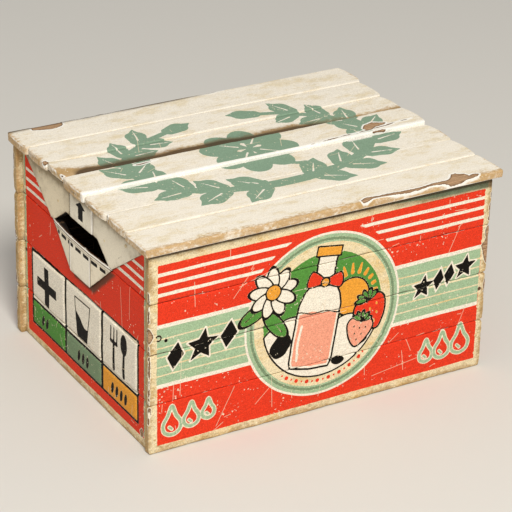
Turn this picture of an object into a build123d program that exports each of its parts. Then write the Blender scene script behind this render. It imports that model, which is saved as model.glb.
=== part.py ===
from build123d import *
import os

os.makedirs("parts", exist_ok=True)

# A slatted wooden milk delivery box with a plank lid hinged along its back.
# Frame: X runs along the front wall, the front faces -Y, Z is up, and the
# origin lies on the ground under the middle of the box. Millimetres.

# ---------------------------------------------------------------- walls
body_length = 457.0        # front planks, end to end
body_depth = 343.0         # front face to back face
body_height = 254.0        # ground to rim
wall_board = 9.5           # thickness of every wall plank
wall_rows = 4              # planks in each wall
seam = 0.6                 # gap between neighbouring planks
wall_ease = 0.5            # bevel along the long outer edges of a wall plank
end_inset = 4.0            # end walls sit this far inside the front planks' ends
back_tail = 8.5            # back planks run this far past the end walls

# ---------------------------------------------------------------- inside
post_leg = 26.0            # legs of the triangular corner posts
post_drop = 4.0            # post tops lie this far below the rim
bearer_width = 25.0        # battens that carry the floor
bearer_height = 12.0
bearer_inset = 65.0        # outer bearers' middles from the insides of the end walls
floor_rows = 5             # boards across the floor
floor_board = 9.5          # thickness of the floor boards
floor_play = 0.5           # floor and dividers stop this short of the walls
cell_columns = 5           # bottle cells along X
cell_rows = 4              # bottle cells along Y
slat = 4.0                 # thickness of the divider slats
slat_height = 90.0
lap_play = 0.3             # extra width of each halving notch

# ---------------------------------------------------------------- lid
lid_gap = 0.4              # daylight between the rim and the closed lid
lid_end_overhang = 8.0     # lid past the front planks' ends, each side
lid_side_overhang = 9.0    # lid past the front and back faces
lid_thicknesses = (10.5, 10.0, 8.5, 12.0, 8.5, 9.5, 9.0)      # back to front
lid_shares = (1.01, 0.99, 0.92, 1.01, 1.05, 1.01, 1.01)       # of an even width
lid_left_trims = (0.0, 1.5, 2.5, 0.0, 1.0, 1.5, 0.0)          # sawn short, left
lid_right_trims = (0.0, 2.0, 0.5, 1.5, 0.0, 1.0, 0.0)         # sawn short, right
lid_ease = 1.0             # bevel along the long top edges of a lid plank
batten_width = 28.0        # cross battens under the lid
batten_height = 12.0
batten_inset = 71.5        # outer battens' middles from the lid's ends
batten_front_gap = 7.0     # batten ends to the inside of the walls
batten_back_gap = 12.0

# ---------------------------------------------------------------- hinges
hinge_inset = 118.5        # hinge middles from the ends of the front planks
hinge_width = 64.0         # along the pin
leaf_width = 24.0          # from the pin's axis to the far edge of a leaf
leaf_sheet = 1.5
knuckle_radius = 3.25
knuckle_count = 5
knuckle_gap = 0.4          # between neighbouring knuckles, and round them
pin_radius = 1.5
pin_play = 0.05            # running clearance round the pin
pin_head_radius = 2.6
pin_head_height = 1.0
relief_depth = 0.5         # extra depth of the mortise over the knuckles

# ---------------------------------------------------------------- fasteners
screw_radius = 1.6
screw_hole_radius = 1.75
screw_head_radius = 2.9
screw_head_depth = 1.3
screw_length = 8.0
screw_slot = 0.8           # width of the driver slot
screw_slot_depth = 0.5
screw_spacing = 21.0       # along the leaf
screw_edge = 7.0           # screw centres from a leaf's far edge
nail_head_radius = 2.4
nail_head_height = 0.6
nail_radius = 1.1
corner_nail_spread = 12.0  # nails above and below the middle of a plank, front and back
post_nail_spread = 22.0    # the same on the end walls
corner_nail_length = 30.0
post_nail_length = 24.0
post_nail_margin = 6.5     # post nails from the inner corner, along the wall
floor_nail_length = 19.0
floor_nail_spread = 24.0
lid_nail_bite = 7.0        # how deep a lid nail enters the planks
lid_nail_spread = 14.0
tack_head_radius = 1.8
tack_head_height = 0.5
tack_radius = 0.7
tack_length = 9.0

# ---------------------------------------------------------------- note chute
chute_sheet = 1.2          # sheet metal
hood_drop = 4.0            # hood's top edge below the rim
hood_margin = 3.3          # hood's top corners from the end wall's edges
lip_drop = 60.0            # top of the lip below the rim
lip_half = 79.5            # half the lip's length
lip_height = 6.0           # depth of the rolled edge
lip_roll = 1.0             # how far the rolled edge stands out
slot_top_drop = 38.5       # slot's top edge below the rim
slot_top_half = 41.0
slot_mouth_half = 71.0     # half the slot's length at the lip
slot_foot_drop = 76.0      # slot's hidden lower edge below the rim
slot_foot_half = 45.0
arrow_panel_half = 28.0    # raised middle panel of the hood
pocket_depth = 47.0        # lip to the foot of the pocket
pocket_half = 25.0         # half the width of the pocket's flat front
pocket_stand = 3.8         # how far the flat front stands off the wall
tack_places = ((60.0, 32.0), (112.0, 16.0))    # along the wall, and below the rim

# ---------------------------------------------------------------- derived places
row_height = (body_height - (wall_rows - 1) * seam) / wall_rows
row_pitch = row_height + seam
end_face = body_length / 2 - end_inset
inner_x = end_face - wall_board
inner_y = body_depth / 2 - wall_board
bearer_spacing = inner_x - bearer_inset
floor_bottom = bearer_height
floor_top = floor_bottom + floor_board
floor_row = (2 * (inner_y - floor_play) - (floor_rows - 1) * seam) / floor_rows
cell_x = 2 * inner_x / cell_columns
cell_y = 2 * inner_y / cell_rows
lid_bottom = body_height + lid_gap
lid_half_length = body_length / 2 + lid_end_overhang
lid_half_depth = body_depth / 2 + lid_side_overhang
lid_rows = len(lid_thicknesses)
batten_spacing = lid_half_length - batten_inset
hinge_offset = body_length / 2 - hinge_inset
axis_y = body_depth / 2 + knuckle_radius + knuckle_gap
axis_z = lid_bottom + leaf_sheet - knuckle_radius
lip_top = body_height - lip_drop
hood_top = body_height - hood_drop
slot_top = body_height - slot_top_drop
slot_foot = body_height - slot_foot_drop
pocket_foot = lip_top - pocket_depth

# The outer face of each wall: local x along the wall, local y up, normal out.
front_face = Plane(origin=(0, -body_depth / 2, 0), x_dir=(1, 0, 0), z_dir=(0, -1, 0))
back_face = Plane(origin=(0, body_depth / 2, 0), x_dir=(-1, 0, 0), z_dir=(0, 1, 0))
left_face = Plane(origin=(-end_face, 0, 0), x_dir=(0, -1, 0), z_dir=(-1, 0, 0))
right_face = Plane(origin=(end_face, 0, 0), x_dir=(0, 1, 0), z_dir=(1, 0, 0))

UNDER = (Align.CENTER, Align.CENTER, Align.MAX)
OVER = (Align.CENTER, Align.CENTER, Align.MIN)


def keep(piece, name):
    """Label a finished piece and write its STEP file."""
    piece.part.label = name
    export_step(piece.part, f"parts/{name}.step")


def mirrored(outline):
    """Close a right-hand outline, listed from top to bottom, with its mirror image."""
    return outline + [(-x, y) for x, y in reversed(outline)]


# ---------------------------------------------------------------- wall planks
slot_outline = mirrored([
    (slot_top_half, slot_top),
    (slot_mouth_half, lip_top),
    (slot_foot_half, slot_foot),
])


def wall_plank(name, face, length, row, opening=None):
    """One horizontal plank of a wall, counted from the ground, with an opening if given."""
    with BuildPart() as plank:
        with BuildSketch(face):
            with Locations((0, row * row_pitch + row_height / 2)):
                Rectangle(length, row_height)
        extrude(amount=-wall_board)
        outside = plank.faces().sort_by(Axis(face.origin, face.z_dir))[-1]
        chamfer(outside.edges().filter_by(Axis(face.origin, face.x_dir)), length=wall_ease)
        if opening:
            with BuildSketch(face):
                with BuildLine():
                    Polyline(*opening, close=True)
                make_face()
            extrude(amount=-wall_board, mode=Mode.SUBTRACT)
    keep(plank, f"{name}_plank_{row + 1}")


for row in range(wall_rows):
    wall_plank("front", front_face, body_length, row)
    wall_plank("back", back_face, 2 * (end_face + back_tail), row)
    wall_plank("left_end", left_face, 2 * inner_y, row, slot_outline)
    wall_plank("right_end", right_face, 2 * inner_y, row)

# ---------------------------------------------------------------- corner posts
corners = (
    ("front_left", -1, -1),
    ("front_right", 1, -1),
    ("back_left", -1, 1),
    ("back_right", 1, 1),
)


def corner_triangle(end, side, leg):
    """A right-angled triangle in a sketch, with its legs along two walls."""
    Polygon(
        (end * inner_x, side * inner_y),
        (end * (inner_x - leg), side * inner_y),
        (end * inner_x, side * (inner_y - leg)),
        align=None,
    )


for name, end, side in corners:
    with BuildPart() as post:
        with BuildSketch(Plane.XY):
            corner_triangle(end, side, post_leg)
        extrude(amount=body_height - post_drop)
    keep(post, f"corner_post_{name}")

# ---------------------------------------------------------------- floor
for number in range(3):
    with BuildPart() as bearer:
        with BuildSketch(Plane.XY):
            with Locations(((number - 1) * bearer_spacing, 0)):
                Rectangle(bearer_width, 2 * inner_y)
        extrude(amount=bearer_height)
    keep(bearer, f"floor_bearer_{number + 1}")

for row in range(floor_rows):
    row_y = -inner_y + floor_play + floor_row / 2 + row * (floor_row + seam)
    with BuildPart() as floor_plank:
        with BuildSketch(Plane.XY.offset(floor_bottom)):
            with Locations((0, row_y)):
                Rectangle(2 * (inner_x - floor_play), floor_row)
        extrude(amount=floor_board)
        for name, end, side in corners:
            with BuildSketch(Plane.XY.offset(floor_bottom)):
                corner_triangle(end, side, post_leg + floor_play)
            extrude(amount=floor_board, mode=Mode.SUBTRACT)
    keep(floor_plank, f"floor_plank_{row + 1}")

# ---------------------------------------------------------------- bottle dividers
# Slats halved into each other stand on the floor like an egg crate. The long
# ones are notched from above and the cross ones from below.
notch = slat + lap_play
half_height = slat_height / 2

for number in range(1, cell_rows):
    slat_y = -inner_y + number * cell_y
    with BuildPart() as long_slat:
        with BuildSketch(Plane.XZ.offset(-slat_y)):
            with Locations((0, floor_top + half_height)):
                Rectangle(2 * (inner_x - floor_play), slat_height)
            with Locations((0, floor_top + slat_height)):
                with GridLocations(cell_x, slat_height, cell_columns - 1, 1):
                    Rectangle(notch, slat_height, mode=Mode.SUBTRACT)
        extrude(amount=slat / 2, both=True)
    keep(long_slat, f"long_divider_{number}")

for number in range(1, cell_columns):
    slat_x = -inner_x + number * cell_x
    with BuildPart() as cross_slat:
        with BuildSketch(Plane.YZ.offset(slat_x)):
            with Locations((0, floor_top + half_height)):
                Rectangle(2 * (inner_y - floor_play), slat_height)
            with Locations((0, floor_top)):
                with GridLocations(cell_y, slat_height, cell_rows - 1, 1):
                    Rectangle(notch, slat_height, mode=Mode.SUBTRACT)
        extrude(amount=slat / 2, both=True)
    keep(cross_slat, f"cross_divider_{number}")

# ---------------------------------------------------------------- lid planks
lid_width = (2 * lid_half_depth - (lid_rows - 1) * seam) / sum(lid_shares)
lid_widths = [share * lid_width for share in lid_shares]
leaf_inner_y = axis_y - leaf_width
relief_y = axis_y - knuckle_radius - knuckle_gap

for row in range(lid_rows):
    plank_back = lid_half_depth - sum(lid_widths[:row]) - row * seam
    plank_left = -lid_half_length + lid_left_trims[row]
    plank_right = lid_half_length - lid_right_trims[row]
    with BuildPart() as lid_plank:
        with BuildSketch(Plane.XY.offset(lid_bottom)):
            with Locations(((plank_left + plank_right) / 2, plank_back - lid_widths[row] / 2)):
                Rectangle(plank_right - plank_left, lid_widths[row])
        extrude(amount=lid_thicknesses[row])
        chamfer(lid_plank.faces().sort_by(Axis.Z)[-1].edges().filter_by(Axis.X), length=lid_ease)
        if row == 0:
            # Mortises for the hinge leaves, deeper where the knuckles lie.
            for near_y, depth in ((leaf_inner_y, leaf_sheet), (relief_y, leaf_sheet + relief_depth)):
                with BuildSketch(Plane.XY.offset(lid_bottom)):
                    with Locations((0, (near_y + lid_half_depth) / 2)):
                        with GridLocations(2 * hinge_offset, 1, 2, 1):
                            Rectangle(hinge_width + 4 * knuckle_gap + 2 * pin_head_height,
                                      lid_half_depth - near_y)
                extrude(amount=depth, mode=Mode.SUBTRACT)
    keep(lid_plank, f"lid_plank_{row + 1}")

batten_length = 2 * inner_y - batten_front_gap - batten_back_gap
batten_middle = (batten_front_gap - batten_back_gap) / 2

for number in range(3):
    with BuildPart() as batten:
        with BuildSketch(Plane.XY.offset(lid_bottom)):
            with Locations(((number - 1) * batten_spacing, batten_middle)):
                Rectangle(batten_width, batten_length)
        extrude(amount=-batten_height)
        chamfer(batten.faces().sort_by(Axis.Z)[0].edges(), length=lid_ease)
    keep(batten, f"lid_batten_{number + 1}")


# ---------------------------------------------------------------- hinges
knuckle_pitch = hinge_width / knuckle_count


def knuckle_middles(first):
    """X offsets of every second knuckle of a hinge, starting from the given one."""
    return [(k + 0.5) * knuckle_pitch - hinge_width / 2 for k in range(first, knuckle_count, 2)]


def knuckles(centre, middles):
    """Add the knuckles of one leaf and bore them for the pin."""
    with Locations(*[(centre + middle, axis_y, axis_z) for middle in middles]):
        Cylinder(knuckle_radius, knuckle_pitch - knuckle_gap, rotation=(0, 90, 0))
    with Locations((centre, axis_y, axis_z)):
        Cylinder(pin_radius + pin_play, hinge_width, rotation=(0, 90, 0), mode=Mode.SUBTRACT)


def leaf_screw_holes(face, along, up):
    """Countersunk holes for three screws, from the face that the heads are on."""
    with Locations(face):
        with Locations((along, up)):
            with GridLocations(screw_spacing, 1, 3, 1):
                CounterSinkHole(screw_hole_radius, screw_head_radius, leaf_sheet)


def screws(name, face, along, up):
    """Slotted countersunk screws for the leaves of both hinges, heads flush with a face."""
    with BuildPart() as group:
        with Locations(face):
            for centre in along:
                with Locations((centre, up)):
                    with GridLocations(screw_spacing, 1, 3, 1):
                        Cylinder(screw_radius, screw_length, align=UNDER)
                        Cone(screw_radius, screw_head_radius, screw_head_depth, align=UNDER)
                        Box(screw_slot, 2 * screw_head_radius, screw_slot_depth,
                            align=UNDER, mode=Mode.SUBTRACT)
    keep(group, name)


clear_of_knuckle = knuckle_radius + knuckle_gap
under_lid = Plane(origin=(0, 0, lid_bottom), x_dir=(1, 0, 0), z_dir=(0, 0, -1))
leaf_face = back_face.offset(leaf_sheet)
wall_screw_up = axis_z - leaf_width + screw_edge
lid_screw_y = axis_y - leaf_width + screw_edge

for name, centre in (("left", -hinge_offset), ("right", hinge_offset)):
    with BuildPart() as wall_leaf:
        with BuildSketch(back_face):
            with Locations((-centre, axis_z - leaf_width / 2)):
                Rectangle(hinge_width - knuckle_gap, leaf_width)
            for middle in knuckle_middles(1):
                with Locations((-centre - middle, axis_z)):
                    Rectangle(knuckle_pitch + knuckle_gap, 2 * clear_of_knuckle, mode=Mode.SUBTRACT)
        extrude(amount=leaf_sheet)
        knuckles(centre, knuckle_middles(0))
        leaf_screw_holes(leaf_face, -centre, wall_screw_up)
    keep(wall_leaf, f"hinge_wall_leaf_{name}")

    with BuildPart() as lid_leaf:
        with BuildSketch(Plane.XY.offset(lid_bottom)):
            with Locations((centre, axis_y - leaf_width / 2)):
                Rectangle(hinge_width - knuckle_gap, leaf_width)
            for middle in knuckle_middles(0):
                with Locations((centre + middle, axis_y)):
                    Rectangle(knuckle_pitch + knuckle_gap, 2 * clear_of_knuckle, mode=Mode.SUBTRACT)
        extrude(amount=leaf_sheet)
        knuckles(centre, knuckle_middles(1))
        leaf_screw_holes(under_lid, centre, -lid_screw_y)
    keep(lid_leaf, f"hinge_lid_leaf_{name}")

    with BuildPart() as pin:
        barrel = (hinge_width - knuckle_gap) / 2
        with BuildSketch(Plane.YZ.offset(centre)):
            with Locations((axis_y, axis_z)):
                Circle(pin_radius)
        extrude(amount=barrel, both=True)
        for end in (-1, 1):
            with BuildSketch(Plane.YZ.offset(centre + end * barrel)):
                with Locations((axis_y, axis_z)):
                    Circle(pin_head_radius)
            extrude(amount=end * pin_head_height)
    keep(pin, f"hinge_pin_{name}")

screws("hinge_wall_screws", leaf_face, (-hinge_offset, hinge_offset), wall_screw_up)
screws("hinge_lid_screws", under_lid, (-hinge_offset, hinge_offset), -lid_screw_y)


# ---------------------------------------------------------------- nails
def nails(length, head_radius=nail_head_radius, head_height=nail_head_height, radius=nail_radius):
    """Nails at the current locations, heads standing on the surface."""
    Cylinder(head_radius, head_height, align=OVER)
    Cylinder(radius, length, align=UNDER)


with BuildPart() as wall_nails:
    for face, reach, spread, length in (
        (front_face, end_face - wall_board / 2, corner_nail_spread, corner_nail_length),
        (back_face, end_face - wall_board / 2, corner_nail_spread, corner_nail_length),
        (left_face, inner_y - post_nail_margin, post_nail_spread, post_nail_length),
        (right_face, inner_y - post_nail_margin, post_nail_spread, post_nail_length),
    ):
        with Locations(face):
            with Locations((0, body_height / 2)):
                with GridLocations(2 * reach, row_pitch, 2, wall_rows):
                    with Locations((0, -spread), (0, spread)):
                        nails(length)
keep(wall_nails, "wall_nails")

with BuildPart() as floor_nails:
    with Locations((0, 0, floor_top)):
        with GridLocations(bearer_spacing, floor_row + seam, 3, floor_rows):
            with Locations((0, -floor_nail_spread), (0, floor_nail_spread)):
                nails(floor_nail_length)
keep(floor_nails, "floor_nails")

lid_plank_middles = [
    lid_half_depth - sum(lid_widths[:row]) - row * seam - lid_widths[row] / 2
    for row in range(lid_rows)
]
batten_face = under_lid.offset(batten_height)

with BuildPart() as lid_nails:
    with Locations(batten_face):
        for number in range(3):
            for middle in lid_plank_middles:
                for offset in (-lid_nail_spread, lid_nail_spread):
                    if abs(middle + offset - batten_middle) < batten_length / 2 - nail_head_radius:
                        with Locations(((number - 1) * batten_spacing, -middle - offset)):
                            nails(batten_height + lid_nail_bite)
keep(lid_nails, "lid_nails")

# ---------------------------------------------------------------- note chute
# A sheet-metal spout on the left end wall: a flat hood over the slot, and a
# pocket under it whose flat front and two slanting facets carry the lip.
hood_half = inner_y - hood_margin

with BuildPart() as hood:
    with BuildSketch(left_face):
        with BuildLine():
            Polyline(*mirrored([
                (hood_half, hood_top),
                (lip_half, lip_top),
                (slot_mouth_half, lip_top),
                (slot_top_half, slot_top),
            ]), close=True)
        make_face()
    extrude(amount=chute_sheet)
    with BuildSketch(left_face.offset(chute_sheet)):
        with Locations((0, (hood_top + slot_top) / 2)):
            Rectangle(2 * arrow_panel_half, hood_top - slot_top)
    extrude(amount=chute_sheet)
keep(hood, "chute_hood")


def spout(wall_half, front_half, stand, foot, top):
    """A wedge on the end wall: a flat front and two facets that slant back to the wall."""
    with BuildSketch(Plane.XY.offset(foot)) as plan:
        with BuildLine():
            Polyline(
                (-end_face, -wall_half),
                (-end_face - stand, -front_half),
                (-end_face - stand, front_half),
                (-end_face, wall_half),
                close=True,
            )
        make_face()
    extrude(plan.sketch, amount=top - foot)


def trimmed(top_half, foot_half, foot):
    """Keep only what lies between two edges that run from the lip down to the foot."""
    with BuildSketch(left_face) as front:
        with BuildLine():
            Polyline(*mirrored([(top_half, lip_top), (foot_half, foot)]), close=True)
        make_face()
    extrude(front.sketch, amount=2 * pocket_stand, mode=Mode.INTERSECT)


facet_slope = pocket_stand / (lip_half - pocket_half)
facet_inset = chute_sheet * (1 + facet_slope ** 2) ** 0.5 / facet_slope
edge_slope = (lip_half - pocket_half) / pocket_depth
edge_inset = chute_sheet * (1 + edge_slope ** 2) ** 0.5 - chute_sheet * edge_slope

with BuildPart() as pocket_hollow:
    spout(lip_half - facet_inset, pocket_half, pocket_stand - chute_sheet,
          pocket_foot + chute_sheet, lip_top)
    trimmed(lip_half - edge_inset - chute_sheet * edge_slope, pocket_half - edge_inset,
            pocket_foot + chute_sheet)

with BuildPart() as pocket:
    spout(lip_half, pocket_half, pocket_stand, pocket_foot, lip_top)
    spout(lip_half, pocket_half, pocket_stand + lip_roll, lip_top - lip_height, lip_top)
    trimmed(lip_half, pocket_half, pocket_foot)
    add(pocket_hollow.part, mode=Mode.SUBTRACT)
keep(pocket, "chute_pocket")

with BuildPart() as tacks:
    with Locations(left_face.offset(chute_sheet)):
        for along, drop in tack_places:
            with Locations((-along, body_height - drop), (along, body_height - drop)):
                nails(tack_length, tack_head_radius, tack_head_height, tack_radius)
keep(tacks, "chute_tacks")
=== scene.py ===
# %% [markdown]
# # A painted milk delivery box
# A doorstep box for bottled milk: four sawn planks to a wall, seven in the lid, house
# paint and stencilled decoration over a cream ground, and decades of knocks. The packed
# CAD model gives every piece its place. This lesson puts the surfaces on it: planks with
# worn edges and painted patterns, driven nails, slatted dividers and old steel hinges.

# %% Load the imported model
import math
from functools import partial

import bpy
import numpy as np
from mathutils import Matrix, Vector
from mathutils.geometry import delaunay_2d_cdt


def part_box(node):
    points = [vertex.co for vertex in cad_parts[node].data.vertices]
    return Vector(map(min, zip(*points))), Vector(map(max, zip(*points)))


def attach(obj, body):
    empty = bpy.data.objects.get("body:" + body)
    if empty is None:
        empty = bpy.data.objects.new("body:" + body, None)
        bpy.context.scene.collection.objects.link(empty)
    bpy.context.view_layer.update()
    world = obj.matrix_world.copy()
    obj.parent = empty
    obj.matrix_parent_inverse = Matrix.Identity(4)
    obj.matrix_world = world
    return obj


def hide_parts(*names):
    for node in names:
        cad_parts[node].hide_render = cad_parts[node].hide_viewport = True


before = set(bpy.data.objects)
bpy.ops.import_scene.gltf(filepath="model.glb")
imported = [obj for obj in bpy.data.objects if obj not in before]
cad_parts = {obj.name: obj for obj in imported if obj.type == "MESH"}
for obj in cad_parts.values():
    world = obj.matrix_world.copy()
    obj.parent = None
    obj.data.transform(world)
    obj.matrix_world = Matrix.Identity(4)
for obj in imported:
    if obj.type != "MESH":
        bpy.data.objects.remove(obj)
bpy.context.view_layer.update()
MM = 0.001


def corners(cad_name):
    """A CAD node's lowest and highest corners, in millimetres."""
    return [np.array(corner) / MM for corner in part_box(cad_name)]


# %% [markdown]
# ## Colours and nodes
# Paint colours are easiest to judge as the hex codes of a colour card, which are sRGB.
# Blender's sockets take linear light, so one function turns the one into the other.
# Materials and Geometry Nodes are both node trees, so one small helper can build either:
# it adds a node, sets it up, links what feeds it and hands back the socket that comes out.
# Most of the materials here are layers of paint or dirt, each let through by a mask.

# %% Colour card and node helper
# The settings that the words after a kind of node choose.
CHOICES = {"Math": "operation", "VectorMath": "operation", "MeshBoolean": "operation solver",
           "Mix": "data_type", "MapRange": "interpolation_type", "Attribute": "attribute_name",
           "RandomValue": "data_type", "InputNamedAttribute": "data_type",
           "StoreNamedAttribute": "data_type domain", "AlignRotationToVector": "axis",
           "RotateRotation": "rotation_space"}


def card(code):
    """A hex code from the colour card as linear RGBA."""
    parts = [int(code[k:k + 2], 16) / 255 for k in (1, 3, 5)]
    return (*[c / 12.92 if c <= 0.04045 else ((c + 0.055) / 1.055) ** 2.4 for c in parts], 1.0)


def add(tree, kind, *values, out=None, **named):
    """Add a node such as "Math MULTIPLY", feed its inputs in order or by name, and hand back its
    first output or the one named. A tuple with sockets in it is combined to a vector, and a list
    of sockets goes into one input."""
    kind, *choices = kind.split()
    types = (family + "Node" + kind for family in ("Shader", "Geometry", "Function", ""))
    made = tree.nodes.new(next(name for name in types if hasattr(bpy.types, name)))
    for setting, choice in zip(CHOICES.get(kind, "").split(), choices):
        setattr(made, setting, choice)
    sockets = [socket for socket in made.inputs if socket.enabled]
    by_name = {socket.name.replace(" ", "_"): socket for socket in sockets}
    fed = [*zip(sockets, values), *((by_name[key], value) for key, value in named.items())]
    for socket, value in fed:
        if isinstance(value, tuple) and any(isinstance(part, bpy.types.NodeSocket) for part in value):
            value = add(tree, "CombineXYZ", *value)
        for one in value if isinstance(value, list) else [value]:
            if isinstance(one, bpy.types.NodeSocket):
                tree.links.new(one, socket)
            else:
                socket.default_value = one
    return made.outputs[out] if out else next((s for s in made.outputs if s.enabled), None)


finishes = {}                       # by name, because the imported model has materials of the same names


def new_finish(name):
    """An empty material, and what adds nodes to it."""
    finish = finishes[name] = bpy.data.materials.new(name)
    finish.use_nodes = True
    finish.node_tree.nodes.clear()
    return finish, partial(add, finish.node_tree)


def layered(node, colour, layers):
    """Lay one (mask, paint) after another over a colour. A paint is a hex code or a socket."""
    for mask, paint in layers:
        colour = node("Mix RGBA", mask, colour, card(paint) if isinstance(paint, str) else paint)
    return colour


def surfaced(node, relief, strength, deep, **inputs):
    """End a material: its surface, with a relief so many mm deep."""
    bump = node("Bump", Height=relief, Strength=strength, Distance=deep * MM)
    node("OutputMaterial", node("BsdfPrincipled", Normal=bump, **inputs))


print("cream on the card:", [round(c, 3) for c in card("#efe3c6")])

# %% [markdown]
# ## Chance, but the same every time
# Wear is irregular, yet the box has to come out the same on every run. A table of random
# numbers from a fixed seed, blended smoothly between its entries, gives bumps of any size
# in millimetres, and a few sizes added together give a ragged edge.

# %% Smooth randomness
TABLE = 128                         # entries along each side of the table of random numbers


def wander(u, v, size_u, size_v, seed):
    """Smooth values from -1 to 1 with bumps of the given sizes in mm."""
    table = np.random.default_rng(seed).uniform(-1, 1, (TABLE, TABLE))
    a, b = np.asarray(u) / size_u + 331.7, np.asarray(v) / size_v + 217.3
    i, j = np.floor(a).astype(int), np.floor(b).astype(int)
    s, t = a - i, b - j
    s, t = s * s * (3 - 2 * s), t * t * (3 - 2 * t)
    low, high = (table[i % TABLE, row % TABLE] * (1 - s) + table[(i + 1) % TABLE, row % TABLE] * s
                 for row in (j, j + 1))
    return low * (1 - t) + high * t


def ragged(u, v, seed):
    """A torn line's wobble, from -1 to 1: big, middling and small bites together."""
    return (0.55 * wander(u, v, 13, 9, seed) + 0.3 * wander(u, v, 5, 4, seed + 1)
            + 0.2 * wander(u, v, 2.2, 2.2, seed + 2))


def ease(x):
    """0 below 0, 1 above 1, and a smooth step between."""
    x = np.clip(x, 0, 1)
    return x * x * (3 - 2 * x)


along_a_line = ragged(np.arange(900.0), np.zeros(900), 3)
print("ragged goes from", round(along_a_line.min(), 2), "to", round(along_a_line.max(), 2))

# %% [markdown]
# ## Stencils as distances
# The decoration was stencilled: flat colours with crisp edges. A picture texture would
# blur, so each shape is described by its signed distance in mm, negative inside it, at
# every point of the plank. The distances are stored on the mesh, one set for each colour,
# and the material paints wherever a distance is below zero. Between mesh points the
# distance runs straight, so edges stay sharp at any zoom.

# %% Shapes as signed distances
def turned(u, v, at, degrees):
    """Coordinates about a point, along axes turned by some degrees."""
    c, s = math.cos(math.radians(degrees)), math.sin(math.radians(degrees))
    return (u - at[0]) * c + (v - at[1]) * s, (v - at[1]) * c - (u - at[0]) * s


def ray(at, degrees, *reaches):
    """The points at some distances from another, all in one direction."""
    turn = math.radians(degrees)
    return [(at[0] + reach * math.cos(turn), at[1] + reach * math.sin(turn)) for reach in reaches]


def block(u, v, left, right, low, high):
    return np.maximum.reduce([left - u, u - right, low - v, v - high])


def disc(u, v, at, radius):
    return np.hypot(u - at[0], v - at[1]) - radius


def oval(u, v, at, half_u, half_v, turn=0.0):
    a, b = turned(u, v, at, turn)
    return (np.hypot(a / half_u, b / half_v) - 1) * min(half_u, half_v)


def nearest_on(u, v, start, end):
    """The nearest point of a line: its share of the way from start to end, and the gap to it."""
    (au, av), (bu, bv) = start, end
    du, dv = bu - au, bv - av
    t = np.clip(((u - au) * du + (v - av) * dv) / (du * du + dv * dv + 1e-9), 0, 1)
    return t, np.hypot(u - au - t * du, v - av - t * dv)


def outline(u, v, points):
    """Distance to a closed outline, negative inside."""
    nearest, inside = np.full(u.shape, 1e9), np.zeros(u.shape, bool)
    for (au, av), (bu, bv) in zip(points, [*points[1:], points[0]]):
        nearest = np.minimum(nearest, nearest_on(u, v, (au, av), (bu, bv))[1])
        inside ^= ((av > v) != (bv > v)) & (u < (bu - au) * (v - av) / (bv - av + 1e-12) + au)
    return np.where(inside, -1, 1) * nearest


def stroke(u, v, points, widths):
    """Distance to a brush stroke through points, with its half width at each, or one for all."""
    widths = np.broadcast_to(widths, len(points))
    best = np.full(u.shape, 1e9)
    for start, end, wide, after in zip(points, points[1:], widths, widths[1:]):
        t, gap = nearest_on(u, v, start, end)
        best = np.minimum(best, gap - wide - t * (after - wide))
    return best


def flowing(points, closed=False, steps=6):
    """A smooth line through points, as a list of closer points."""
    p = np.array(points, float)
    ends = (p[-1:], p[:2]) if closed else (p[:1], p[-1:])
    q = np.vstack([ends[0], p, ends[1]])
    line = [0.5 * (2 * b + (c - a) * t + (2 * a - 5 * b + 4 * c - d) * t * t
                   + (3 * b - a - 3 * c + d) * t ** 3)
            for a, b, c, d in zip(q, q[1:], q[2:], q[3:]) for t in np.arange(steps) / steps]
    return [tuple(x) for x in line] + ([] if closed else [tuple(p[-1])])


print("4 mm from the middle of a 10 mm disc:", disc(4.0, 0.0, (0, 0), 10))

# %% [markdown]
# ## Coats of paint
# A later coat hides what lies under it. Laying a shape of one colour therefore pulls that
# colour's distance down inside the shape and pushes every other colour's up. Laying
# "ground" only pushes, so the cream undercoat shows.

# %% Coats
# The chalk coat also serves for painted highlights on the cells and on the lid.
COATS = ("red", "mint", "shade", "leaf", "black", "white", "gold", "blush", "chalk")


class Coats:
    """The stencilled colours at each point of one board."""

    def __init__(self, u, v):
        wobble_u, wobble_v = (0.35 * wander(u, v, *size, seed) + 0.15 * wander(u, v, 4, 4, seed + 1)
                              for size, seed in (((24, 17), 71), ((28, 15), 73)))
        self.u, self.v = u + wobble_u, v + wobble_v
        self.depth = {coat: np.full(u.shape, 40.0) for coat in COATS}

    def lay(self, coat, inside):
        for name, depth in self.depth.items():
            self.depth[name] = np.minimum(depth, inside) if name == coat else np.maximum(depth, -inside)

    def bordered(self, coat, inside, line=1.3):
        """A shape with a black line round it."""
        self.lay("black", inside - line)
        self.lay(coat, inside + line * 0.6)


print(len(COATS), "coats:", ", ".join(COATS))

# %% [markdown]
# ## The medallion
# A round badge crosses all four front planks: cream and mint rings round a green field.
# In it stand things that any dairy might paint, in flat colours with black lines: a glass
# bottle of milk with a red ribbon, a daisy, a clover leaf and a low sun. Each is a few
# smooth outlines, laid from the back of the picture to the front.

# %% Badge
BADGE = (-1.0, 126.0)               # its middle on the front
BADGE_RADIUS = 104.5
FIELD_RADIUS = 79.5                 # the green field inside the rings
SUN = (38, 14)
DAISY = (-68, 44)


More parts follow.
